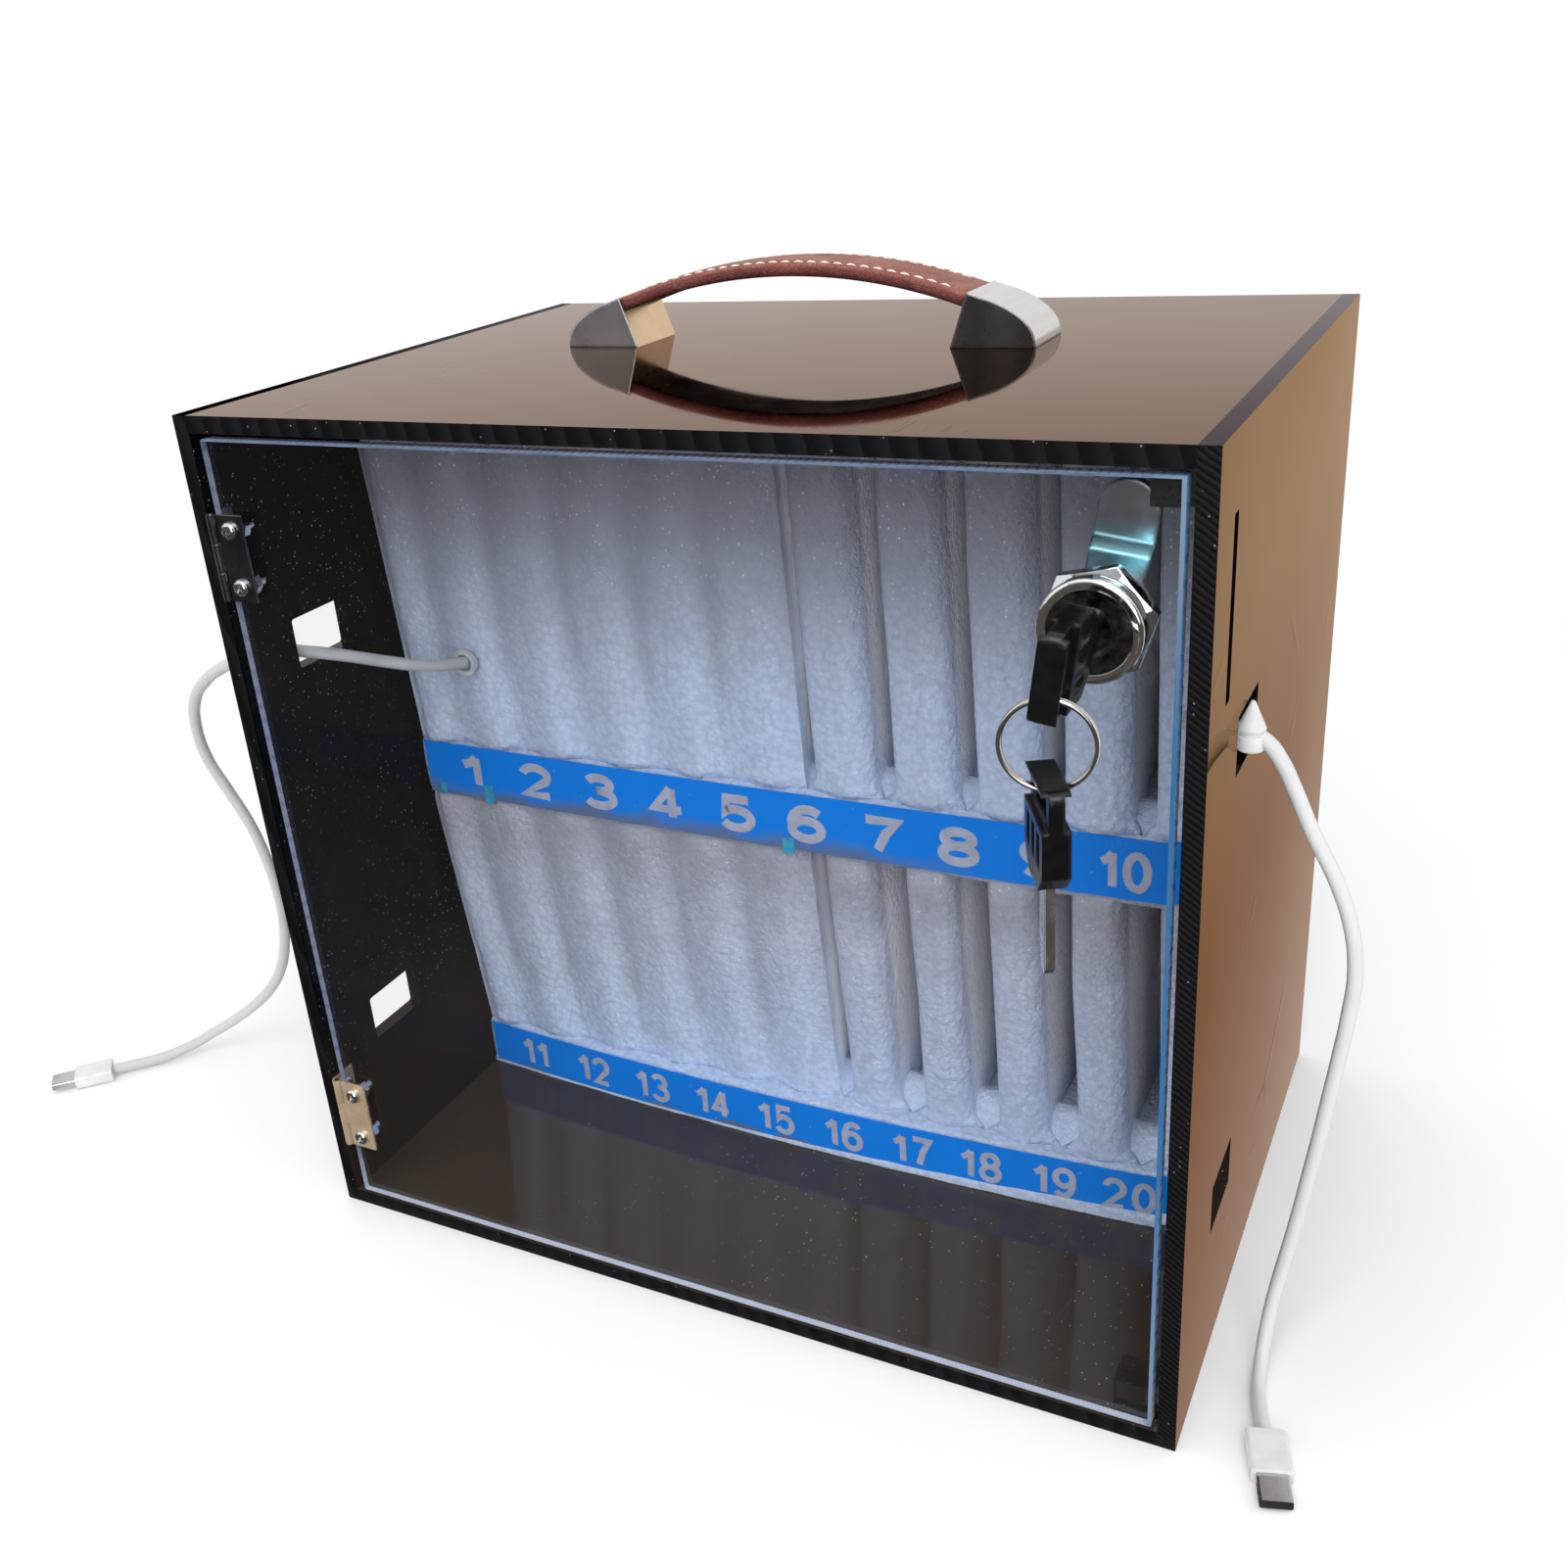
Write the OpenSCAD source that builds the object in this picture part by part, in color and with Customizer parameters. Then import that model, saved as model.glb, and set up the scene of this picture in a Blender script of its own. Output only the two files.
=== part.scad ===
// Slotted locker box: a black acrylic cabinet with a clear hinged door, a cam lock with
// two keys on a ring, a leather carrying handle, two tiers of ten foam slots behind
// numbered strips, and a white charging cable through a port in each side.
//
// Frame: origin under the middle of the box, X to the right, Y to the back, Z up.
// The door is at the front, in the plane of the panels' front edges.

/* [Box] */
// Outside width of the box
box_w = 290; // [270:1:340]
// Outside depth of the box, without the lock
box_d = 202; // [190:1:240]
// Outside height of the box, without the handle
box_h = 276; // [262:1:320]
// Thickness of the black acrylic panels
panel_t = 5; // [4:0.5:6]

/* [Door] */
// Thickness of the clear door
door_t = 4; // [3:0.5:5]
// Gap for the hinge barrels at the left of the door
door_gap_hinge = 3.7; // [3.6:0.1:5]
// Gap at the lock side of the door
door_gap_lock = 1.8; // [1:0.1:3]
// Gap above the door
door_gap_top = 1.6; // [1:0.1:3]
// Gap under the door
door_gap_bottom = 1.2; // [0.8:0.1:3]
// Corner radius of the door
door_corner_r = 0.6; // [0.2:0.2:3]

/* [Cable ports] */
// Length of a port along the side panel
port_w = 25; // [20:1:30]
// Height of a port
port_h = 16; // [12:1:20]
// Corner radius of a port
port_corner_r = 1; // [0.5:0.5:3]
// Middle of the left ports behind the front edge
port_left_back = 38.5; // [36:0.5:42]
// Height of the middle of the upper left port
port_left_high = 199.5; // [197:0.5:202]
// Height of the middle of the lower left port
port_left_low = 61; // [50:0.5:75]
// Middle of the right ports behind the front edge
port_right_back = 47.5; // [45:0.5:52]
// Height of the middle of the upper right port
port_right_high = 195; // [192:0.5:198]
// Height of the middle of the lower right port
port_right_low = 55; // [45:0.5:75]

/* [Hinges] */
// Height of a hinge leaf
hinge_h = 26; // [22:1:32]
// Width of a leaf, from the axis to its free edge
leaf_w = 11.4; // [11:0.2:13]
// Thickness of a leaf
leaf_t = 0.8; // [0.6:0.1:1]
// Outside diameter of the barrel
barrel_d = 3; // [2.6:0.1:3.2]
// Diameter of the hinge pin
pin_d = 1.6; // [1.2:0.1:1.8]
// Radial clearance of the pin in its barrel
pin_gap = 0.05; // [0.03:0.01:0.1]
// Gap between two knuckles
knuckle_gap = 0.2; // [0.1:0.05:0.4]
// Distance of each hinge's middle from the top or bottom of the box
hinge_inset = 40; // [34:1:60]
// Distance of the leaf screws from the hinge axis
leaf_screw_in = 6.7; // [6.4:0.1:7.4]
// Distance between the two screws of a leaf
hinge_screw_pitch = 17; // [14:0.5:19]
// Diameter of the hinge screws
hinge_screw_d = 3; // [2.5:0.1:3]
// Head diameter of the hinge screws
hinge_head_d = 5.2; // [4.8:0.1:5.6]
// Head height of the hinge screws
hinge_head_h = 1.7; // [1.2:0.1:1.9]
// Width across the flats of the hinge nuts
hinge_nut_af = 5.5; // [5:0.1:6]
// Thickness of the hinge nuts
hinge_nut_h = 2.4; // [1.8:0.1:3]
// How far the door screws stand out of their nuts
hinge_screw_tail = 2.6; // [1:0.1:4]

/* [Lock] */
// Lock axis from the right outside face
lock_from_right = 26; // [25:0.5:28]
// Lock axis from the top outside face
lock_from_top = 41; // [38:0.5:50]
// Outside diameter of the lock's front ring
bezel_d = 24.5; // [22:0.5:28]
// How far the front ring stands in front of the door
bezel_h = 3.2; // [2.8:0.1:5]
// Inside diameter of the front ring
bezel_bore_d = 19.6; // [18.4:0.1:20.2]
// Diameter of the threaded lock barrel
lock_barrel_d = 18; // [17:0.5:19]
// Distance between the two flats of the barrel
lock_flat_w = 16; // [15.4:0.1:16.8]
// Width across the flats of the lock nut
lock_nut_af = 24; // [22:0.5:24.5]
// Thickness of the lock nut
lock_nut_h = 4.5; // [3:0.5:6]
// How far the barrel reaches behind the door
lock_reach = 10.6; // [10.2:0.1:11.4]
// Diameter of the plug's front disc
plug_head_d = 19; // [16:0.1:19.2]
// Thickness of the plug's front disc
plug_head_t = 2; // [1.5:0.1:2.4]
// Diameter of the turning plug
plug_d = 12.6; // [11:0.1:13]
// Radial clearance of the plug in the barrel
plug_gap = 0.08; // [0.05:0.01:0.1]
// How far the lock is turned in the photographed state
lock_rest_deg = 8; // [0:1:10]

/* [Cam] */
// Length of the cam from the lock axis to its tip
cam_len = 29.5; // [28.5:0.5:31]
// Width of the cam
cam_w = 14; // [11:0.5:15]
// Thickness of the cam
cam_t = 2.4; // [1.8:0.1:2.6]
// How far the cam's blade is set back from its foot
cam_joggle = 2.5; // [2:0.1:3]
// Side of the square tail that drives the cam
tail_w = 7; // [6:0.1:8]
// Clearance round the square tail
tail_gap = 0.05; // [0.03:0.01:0.1]
// Thickness of the stop washer in front of the cam
washer_t = 0.8; // [0.5:0.1:1.2]
// Width of the cam slot in the right panel
cam_slot_w = 4.5; // [4.3:0.1:5.5]
// Length of the cam slot in the right panel
cam_slot_h = 44.7; // [43.5:0.1:52]

/* [Keys] */
// Width of the key's grip
bow_w = 20.5; // [18:0.5:23]
// Length of the key's grip
bow_len = 24.5; // [22:0.5:28]
// Thickness of the key's grip
bow_t = 6.2; // [5.6:0.1:7]
// Depth of the panel pressed into each side of the grip
bow_panel_depth = 1.4; // [1:0.1:1.6]
// Corner radius of the grip
bow_corner_r = 2.5; // [1.5:0.5:4]
// Bare blade between the lock's face and the grip
bow_stand = 6.5; // [4:0.5:8]
// How deep the blade sits in the grip
blade_root = 8; // [6:0.5:10]
// Width of the blade
blade_w = 7; // [6:0.1:8]
// Thickness of the blade
blade_t = 2; // [1.6:0.1:2.4]
// Clearance of the blade in its keyway, on each side
keyway_gap = 0.1; // [0.05:0.01:0.2]
// Width of the slot for the ring, along the key
ring_slot_w = 5.5; // [4.5:0.1:6]
// Length of the slot for the ring, across the grip
ring_slot_len = 14.1; // [13.5:0.1:15]
// Material between the slot for the ring and the end of the grip
ring_slot_edge = 2; // [1.8:0.1:3]
// Bevel on the edges of that slot, where the grip hangs on the ring
ring_slot_bevel = 1; // [0.6:0.1:1.2]
// Play between the hanging grip and the ring
ring_play = 0.6; // [0.5:0.05:0.9]
// Mean radius of the key ring
ring_r = 10.25; // [10:0.05:12]
// Diameter of the ring's wire
ring_wire_d = 1.2; // [1:0.05:1.3]
// How far the hanging ring is turned about the vertical
ring_yaw = 10; // [0:1:12]
// How far the spare key is turned about the vertical
spare_yaw = 28; // [20:1:30]

/* [Handle] */
// Length of the handle over its two end caps
handle_len = 153.6; // [140:0.2:170]
// Width of the handle
handle_w = 24; // [18:0.5:28]
// Middle of the handle to the left of the middle of the box
handle_left = 4.3; // [0:0.1:8]
// Middle of the handle behind the middle of the box
handle_back = 19.5; // [0:0.5:30]
// Height of the grip's highest point above the box
handle_rise = 24.5; // [20:0.5:30]
// Rise of the grip from its ends to its middle
grip_rise = 9.5; // [7:0.5:11]
// Length of the grip between the end caps, along its top
grip_span = 113.4; // [100:0.2:118]
// Thickness of the leather grip
grip_t = 4.6; // [3.5:0.1:6]
// Diameter of the handle screws
handle_screw_d = 4; // [3:0.5:5]
// Head diameter of the handle screws
handle_head_d = 8; // [7:0.5:10]
// Head height of the handle screws
handle_head_h = 2.6; // [2:0.1:3]
// Depth of a handle screw in its end cap
handle_screw_depth = 8; // [6:0.5:10]

/* [Foam] */
// Width of a slot
slot_w = 14; // [12:0.1:16]
// Middle of the first slot from the left panel
slot_first = 18.8; // [16:0.1:20]
// Middle of the last slot from the right panel
slot_last = 26.3; // [20:0.1:28]
// Slots in a tier
slots = 10; // [8:1:10]
// Thickness of the foam at the back of the slots
foam_back_t = 35; // [25:1:45]
// Gap between the foam and the panels
foam_gap = 0.3; // [0.2:0.05:0.5]
// Top of the lower tier's floor
floor_low_top = 24; // [20:0.5:28]
// Bottom of the upper tier's floor
floor_high_bottom = 127.5; // [120:0.5:135]
// Thickness of the upper tier's floor
floor_high_t = 20; // [17:0.5:24]
// Front of the lower floor, behind the box's front edge
floor_low_front = 86; // [80:0.5:92]
// Front of the upper floor, behind the box's front edge
floor_high_front = 75; // [72:0.5:80]
// How far the lower floor bulges forward in its middle
floor_low_bulge = 6; // [2:0.5:8]
// How far the upper floor bulges forward in its middle
floor_high_bulge = 2; // [1:0.5:4]
// Front of the dividers behind the box's front edge, at the lower floor
divider_low_front = 84.5; // [78:0.5:92]
// Front of the dividers behind the box's front edge, at the upper floor
divider_mid_front = 73; // [68:0.5:80]
// Front of the dividers behind the box's front edge, at the top
divider_top_front = 64.5; // [60:0.5:72]
// Height of the upper number strip
strip_high_h = 19.5; // [15:0.5:20]
// Height of the lower number strip
strip_low_h = 17; // [12:0.5:18]
// Thickness of a number strip
strip_t = 0.4; // [0.2:0.1:0.8]
// Foam left bare beside each end of a strip
strip_end = 1.5; // [0.5:0.5:4]
// Foam left bare above the lower strip
strip_low_drop = 0.5; // [0:0.5:1.5]

/* [Door stops] */
// Size of the upper stop block across the box
stop_w = 10; // [6:0.5:12]
// Size of the upper stop block from front to back
stop_d = 8; // [5:0.5:9]
// Height of the upper stop block
stop_h = 9; // [6:0.5:12]
// Width of the clear lower stop block
stop_low_w = 13; // [8:0.5:16]
// Height of the clear lower stop block
stop_low_h = 12; // [8:0.5:16]
// Gap between the closed door and its stops
stop_gap = 0.3; // [0.1:0.05:0.5]

/* [Cables] */
// Diameter of the charging cables
cable_d = 4.8; // [4:0.1:5]
// Diameter of the ring where the left cable enters the foam
grommet_d = 9; // [8:0.5:12]
// Thickness of that ring
grommet_t = 1.6; // [1:0.1:2.5]
// Diameter of the tapered sleeve on the right cable, in its port
sleeve_d = 7; // [6:0.2:8]
// Width of the charging plugs
plug_w = 11; // [9:0.5:12]
// Height of the charging plugs
plug_h = 5.2; // [5:0.1:7]
// Length of the charging plugs' bodies
plug_len = 14; // [10:0.5:20]
// Width of the metal shells of the plugs
shell_w = 8.6; // [7:0.1:8.8]
// Height of the metal shells of the plugs
shell_h = 2.8; // [2:0.1:4]
// Length of the metal shells of the plugs
shell_len = 9; // [6:0.5:12]

/* [Hidden] */
$fn = 48;
e = 0.01;

front = -box_d / 2;
in_x = box_w / 2 - panel_t;      // inner face of a side panel
in_back = box_d / 2 - panel_t;   // inner face of the back panel
in_top = box_h - panel_t;        // inner face of the top panel
door_x0 = -in_x + door_gap_hinge;
door_x1 = in_x - door_gap_lock;
door_z0 = panel_t + door_gap_bottom;
door_z1 = in_top - door_gap_top;
door_back = front + door_t;

// the hinge axis stands in the gap beside the door, in the plane of the door leaf
hinge_x = -in_x + leaf_t / 2 + barrel_d / 2 + 0.1;
hinge_y = front - leaf_t / 2;
hinge_z = [hinge_inset - 1, box_h - hinge_inset - 1];
knuckle_h = (hinge_h - 2 * knuckle_gap) / 3;
screw_x = hinge_x + leaf_screw_in;         // screws of the door leaf
screw_y = hinge_y + leaf_screw_in - 0.1;   // screws of the wall leaf

lock = [box_w / 2 - lock_from_right, front, box_h - lock_from_top];
plug_face = front - bezel_h + 0.3;
plug_step = plug_face + plug_head_t;
lock_rear = door_back + lock_reach;
plug_rear = lock_rear + 0.1;     // the washer and the cam stack behind it
cam_foot = plug_rear + washer_t + 0.1;
cam_blade = cam_foot + cam_joggle;
cam_back = cam_foot + cam_t;
cam_screw_d = 3;

// the key's own frame: X out of the lock along the key, Y across the grip
key_in = plug_rear - plug_face - 0.8;         // how deep the key goes into the plug
blade_len = bow_stand + key_in;
bow_end = bow_stand + bow_len;
slot_mid = bow_end - ring_slot_edge - ring_slot_w / 2;
bar_h = (bow_w - ring_slot_len) / 2;         // bar of the grip that the ring hangs on
bar_t = bow_t - 2 * bow_panel_depth;
bar_r = norm([bar_h, bar_t]) / 2;
bar_out = (bow_w - bar_h) / 2;
ring_drop = ring_r - ring_wire_d / 2 - bar_r - 0.15;
bar_x = lock[0] - bar_out * sin(lock_rest_deg);
bar_z = lock[2] - bar_out * cos(lock_rest_deg);
ring_c = [bar_x, plug_face - slot_mid, bar_z - ring_drop];
hang_z = ring_c[2] - ring_r;                 // wire that carries the spare key

handle_c = [-handle_left, handle_back, box_h];
grip_half = grip_span / 2;
arc_r = (grip_half * grip_half + grip_rise * grip_rise) / (2 * grip_rise);
arc_c = handle_rise - arc_r;                 // height of the arc's centre over the box
arc_a = asin(grip_half / arc_r);
cap_foot = -arc_c * tan(arc_a);              // inner foot of an end cap
cap_in_h = handle_rise - grip_rise;
cap_x = (handle_len / 2 + cap_foot) / 2 + 1; // handle screw in its cap
cap_run = 4;                     // straight part of a cap's top before its curve
cap_flat = 0.12;                 // how much flatter than a quarter ellipse the curve is

foam_x = in_x - foam_gap;
foam_y1 = in_back - foam_gap;
foam_y0 = foam_y1 - foam_back_t;
foam_z0 = panel_t + foam_gap;
foam_z1 = in_top - foam_gap;
floor_high_top = floor_high_bottom + floor_high_t;
slot_pitch = (2 * in_x - slot_first - slot_last) / (slots - 1);
function slot_x(i) = -in_x + slot_first + slot_pitch * i;
function between(a, b, t) = a + (b - a) * t;
function lean_y(z) = front + (z < floor_high_top
    ? between(divider_low_front, divider_mid_front,
              (z - floor_low_top) / (floor_high_bottom - floor_low_top))
    : between(divider_mid_front, divider_top_front,
              (z - floor_high_top) / (foam_z1 - floor_high_top)));
function bulge_y(x, back, bulge) = front + back - bulge * (1 - pow(x / foam_x, 2));

// Left cable: from the foam, through the upper left port, down and along the table.
cable_left_route = [
    [-110.5, -31.2, 180.5], [-113.5, -38.5, 181.8], [-119, -47, 184.5], [-125, -55, 188.2],
    [-132, -63, 192.2], [-140, -69, 194.8], [-150, -70.5, 195], [-162, -69.5, 192.5],
    [-175, -67.5, 188], [-188, -65, 182.5], [-200, -62, 175.8], [-210.5, -59, 167],
    [-217, -56, 155], [-218.5, -53, 140], [-214.5, -50.5, 126.5], [-209.8, -48.6, 113],
    [-207.4, -47, 99], [-207.2, -45.4, 85], [-208.8, -44, 71], [-212.6, -43, 57.5],
    [-218.5, -42.3, 45], [-226.5, -42.2, 34.5], [-236.5, -43, 25.2], [-247.5, -45.1, 17],
    [-258.5, -48.6, 10], [-267.5, -54, 4.8], [-275.5, -62, 2.6], [-282.5, -69.5, 2.5],
    [-289, -76, 2.5]];
// Right cable: from the foam, through the upper right port, down and along the table.
cable_right_route = [
    [125.5, -31.5, 187], [127.5, -38.5, 188.5], [132, -46, 191.5], [138.5, -51, 193.6],
    [144.5, -52.7, 194.2], [149.8, -53, 191.9], [153.6, -53, 187], [156.8, -53, 180.6],
    [162, -53, 169], [168.5, -53, 156.5], [173, -53, 144], [175, -53, 131],
    [174.4, -53, 117.5], [173, -53, 104], [171.4, -53, 90.5], [169.8, -53, 77],
    [168, -53.1, 63.5], [166.2, -53.4, 50], [164.2, -53.9, 37], [162.2, -55.2, 24.5],
    [161, -58, 14], [160.8, -63.5, 6.2], [161.5, -71.5, 2.9], [163.5, -80, 2.5],
    [166.5, -88.5, 2.5]];
left_plug_turn = 225;     // heading of each cable's end on the table, about the vertical
right_plug_turn = 287;
sleeve_at = [146, -53, 189.6];   // foot of the right cable's sleeve
sleeve_h = 12.8;

black = "#141416";
clear = "#c8dcf0";
steel = "#b4b6b8";
chrome = "#d8dadc";
dark = "#1c1c1e";
foam = "#b4bad0";
blue = "#0f6fd0";
leather = "#7a4038";
white = "#e4e6e6";

// ---------------------------------------------------------------- helpers

// a rectangle with round corners, centred
module round_rect(w, h, r) {
    square([w - 2 * r, h], center = true);
    square([w, h - 2 * r], center = true);
    for (x = [-1, 1], y = [-1, 1])
        translate([x * (w / 2 - r), y * (h / 2 - r)]) circle(r);
}

// a round bar along Y, from y0 to y1
module bar_y(x, z, d, y0, y1)
    translate([x, y1, z]) rotate([90, 0, 0]) cylinder(d = d, h = y1 - y0);

// a hexagon nut along Y, its corners cut back by a cone on both faces
module nut_y(af, h, bore, turn = 0) {
    corner = af / 2 / cos(30);
    face_r = af / 2 * 0.95;
    reach = corner * 1.05;
    slope = (reach - face_r) * 0.45;
    rotate([90, 0, 0]) difference() {
        intersection() {
            rotate(turn) cylinder(r = corner, h = h, $fn = 6);
            rotate_extrude() polygon([[0, 0], [face_r, 0], [reach, slope],
                [reach, h - slope], [face_r, h], [0, h]]);
        }
        translate([0, 0, -1]) cylinder(d = bore, h = h + 2);
    }
}

// a pan-head screw along +Z: the head stands on z = 0 and the shank goes down
module pan_screw(d, head_d, head_h, len) {
    difference() {
        union() {
            rotate_extrude() polygon(concat([[0, 0], [head_d / 2, 0]],
                [for (a = [15:15:90]) [head_d / 2 - head_h * 0.8 * (1 - cos(a)),
                                       head_h * (0.25 + 0.75 * sin(a))]],
                [[0, head_h]]));
            translate([0, 0, -len]) cylinder(d = d, h = len + e);
        }
        for (a = [0, 90]) rotate(a)
            translate([-head_d * 0.28, -head_d * 0.06, head_h * 0.45])
                cube([head_d * 0.56, head_d * 0.12, head_h]);
    }
}

function unit(v) = v / norm(v);
function heading(p, i) = unit(p[min(i + 1, len(p) - 1)] - p[max(i - 1, 0)]);
function square_to(v, t) = unit(v - (v * t) * t);

// one closed tube with a ring at each point of its route, the rings carried along it
// without twist
module tube(p, d, sides) {
    n = len(p);
    t = [for (i = [0:n - 1]) heading(p, i)];
    side = [for (i = 0, v = square_to([0.3, 0.2, 1], t[0]); i < n;
             i = i + 1, v = i < n ? square_to(v, t[i]) : v) v];
    rings = [for (i = [0:n - 1], k = [0:sides - 1])
        p[i] + d / 2 * (cos(360 * k / sides) * side[i]
                        + sin(360 * k / sides) * cross(t[i], side[i]))];
    walls = [for (i = [0:n - 2], k = [0:sides - 1])
        let (a = i * sides + k, b = i * sides + (k + 1) % sides)
        each [[a, a + sides, b], [b, a + sides, b + sides]]];
    ends = [for (k = [1:sides - 2])
        each [[0, k, k + 1], [(n - 1) * sides, (n - 1) * sides + k + 1,
                              (n - 1) * sides + k]]];
    polyhedron(rings, concat(walls, ends));
}

// ---------------------------------------------------------------- box panels

module port_cut(x, back, z)
    translate([x, front + back, z]) rotate([90, 0, 90])
        linear_extrude(panel_t + 2, center = true) round_rect(port_w, port_h, port_corner_r);

module side_panel_left() {
    color(black) difference() {
        translate([-box_w / 2, front, 0]) cube([panel_t, box_d, box_h]);
        for (z = [port_left_high, port_left_low])
            port_cut(-box_w / 2 + panel_t / 2, port_left_back, z);
        for (h = hinge_z, s = [-1, 1])
            translate([-box_w / 2 - 1, screw_y, h + s * hinge_screw_pitch / 2])
                rotate([0, 90, 0]) cylinder(d = hinge_screw_d + 0.1, h = panel_t + 2);
    }
}

module side_panel_right() {
    color(black) difference() {
        translate([in_x, front, 0]) cube([panel_t, box_d, box_h]);
        for (z = [port_right_high, port_right_low])
            port_cut(box_w / 2 - panel_t / 2, port_right_back, z);
        translate([box_w / 2 - panel_t / 2, cam_blade + cam_t / 2, lock[2]])
            rotate([90, 0, 90]) linear_extrude(panel_t + 2, center = true)
                round_rect(cam_slot_w, cam_slot_h, 0.8);
    }
}

module top_panel() {
    color(black) difference() {
        translate([-in_x, front, in_top]) cube([2 * in_x, box_d, panel_t]);
        for (s = [-1, 1])
            translate([handle_c[0] + s * cap_x, handle_c[1], in_top - 1])
                cylinder(d = handle_screw_d + 0.4, h = panel_t + 2);
    }
}

module bottom_panel()
    color(black) translate([-in_x, front, 0]) cube([2 * in_x, box_d, panel_t]);

module back_panel()
    color(black) translate([-in_x, in_back, panel_t])
        cube([2 * in_x, panel_t, in_top - panel_t]);

// blocks glued in the corners behind the free edge of the door
module door_stop_upper()
    color(dark) translate([in_x - stop_w, door_back + stop_gap, in_top - stop_h])
        cube([stop_w, stop_d, stop_h]);

module door_stop_lower()
    color(clear) translate([in_x - stop_low_w, door_back + stop_gap, panel_t])
        cube([stop_low_w, stop_d + 2, stop_low_h]);

// ---------------------------------------------------------------- door and hinges

module door_panel() {
    color(clear, 0.35) difference() {
        translate([(door_x0 + door_x1) / 2, door_back, (door_z0 + door_z1) / 2])
            rotate([90, 0, 0]) linear_extrude(door_t)
                round_rect(door_x1 - door_x0, door_z1 - door_z0, door_corner_r);
        bar_y(lock[0], lock[2], lock_barrel_d + 0.3, front - 1, door_back + 1);
        for (h = hinge_z, s = [-1, 1])
            bar_y(screw_x, h + s * hinge_screw_pitch / 2, hinge_screw_d + 0.3,
                  front - 1, door_back + 1);
    }
}

// knuckles of one hinge at its place; k = 0 is the lowest of three
module knuckle(k)
    translate([0, 0, -hinge_h / 2 + k * (knuckle_h + knuckle_gap)])
        cylinder(d = barrel_d, h = knuckle_h);

module pin_bore()
    translate([0, 0, -hinge_h / 2 - 1]) cylinder(d = pin_d + 2 * pin_gap, h = hinge_h + 2);

// room for the other leaf's knuckles
module knuckle_room(k)
    translate([0, 0, -hinge_h / 2 + k * (knuckle_h + knuckle_gap) - knuckle_gap])
        cylinder(d = barrel_d + 0.5, h = knuckle_h + 2 * knuckle_gap);

module hinge_wall_leaves() {
    color(steel) for (h = hinge_z) translate([hinge_x, hinge_y, h]) difference() {
        union() {
            translate([-in_x - hinge_x, 0, -hinge_h / 2]) cube([leaf_t, leaf_w, hinge_h]);
            for (k = [0, 2]) knuckle(k);
        }
        pin_bore();
        knuckle_room(1);
        for (s = [-1, 1])
            translate([-in_x - hinge_x - 1, screw_y - hinge_y, s * hinge_screw_pitch / 2])
                rotate([0, 90, 0]) cylinder(d = hinge_screw_d + 0.1, h = leaf_t + 2);
    }
}

module hinge_door_leaves() {
    color(steel) for (h = hinge_z) translate([hinge_x, hinge_y, h]) difference() {
        union() {
            translate([0, -leaf_t / 2, -hinge_h / 2]) cube([leaf_w, leaf_t, hinge_h]);
            knuckle(1);
        }
        pin_bore();
        for (k = [0, 2]) knuckle_room(k);
        for (s = [-1, 1])
            bar_y(screw_x - hinge_x, s * hinge_screw_pitch / 2, hinge_screw_d + 0.1,
                  -leaf_t, leaf_t);
    }
}

module hinge_pins()
    color(steel) for (h = hinge_z) translate([hinge_x, hinge_y, h - hinge_h / 2 - 0.2])
        cylinder(d = pin_d, h = hinge_h + 0.4);

module hinge_door_screws() {
    len = leaf_t + door_t + hinge_nut_h + hinge_screw_tail;
    color(steel) for (h = hinge_z, s = [-1, 1])
        translate([screw_x, front - leaf_t, h + s * hinge_screw_pitch / 2])
            rotate([90, 0, 0]) rotate(20 + 50 * s)
                pan_screw(hinge_screw_d, hinge_head_d, hinge_head_h, len);
}

module hinge_door_nuts()
    color(steel) for (h = hinge_z, s = [-1, 1])
        translate([screw_x, door_back + hinge_nut_h, h + s * hinge_screw_pitch / 2])
            nut_y(hinge_nut_af, hinge_nut_h, hinge_screw_d + 0.1, 10 * s);

module hinge_wall_screws()
    color(steel) for (h = hinge_z, s = [-1, 1])
        translate([-in_x + leaf_t, screw_y, h + s * hinge_screw_pitch / 2])
            rotate([0, 90, 0]) rotate(35 * s)
                pan_screw(hinge_screw_d, hinge_head_d, hinge_head_h, leaf_t + panel_t - 0.4);

// ---------------------------------------------------------------- lock

// turns a shape made about the Y axis through the origin into the lock's place
module at_lock(turned = true)
    translate([lock[0], 0, lock[2]])
        rotate([0, turned ? lock_rest_deg : 0, 0]) children();

module lock_housing() {
    r = bezel_d / 2;
    b = lock_barrel_d / 2;
    color(chrome) at_lock(false) difference() {
        union() {
            translate([0, front, 0]) rotate([90, 0, 0]) rotate_extrude() polygon(concat(
                [[0, 0], [r, 0]],
                [for (a = [0:15:90]) [r - 1.2 + 1.2 * cos(a), bezel_h - 1.2 + 1.2 * sin(a)]],
                [[0, bezel_h]]));
            intersection() {
                bar_y(0, 0, lock_barrel_d, front - e, lock_rear);
                translate([-lock_flat_w / 2, front - 1, -b - 1])
                    cube([lock_flat_w, lock_rear - front + 2, 2 * b + 2]);
            }
        }
        bar_y(0, 0, bezel_bore_d, front - bezel_h - 1, plug_step + 0.1);
        bar_y(0, 0, plug_d + 2 * plug_gap, front - 1, lock_rear + 1);
    }
}

module lock_nut()
    color(chrome) at_lock(false) translate([0, door_back + lock_nut_h, 0])
        nut_y(lock_nut_af, lock_nut_h, lock_barrel_d + 0.1, 12);

module keyway(grow)
    translate([-blade_t / 2 - grow, plug_face - 1, -blade_w / 2 - grow])
        cube([blade_t + 2 * grow, 1 + key_in + 0.3, blade_w + 2 * grow]);

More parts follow.
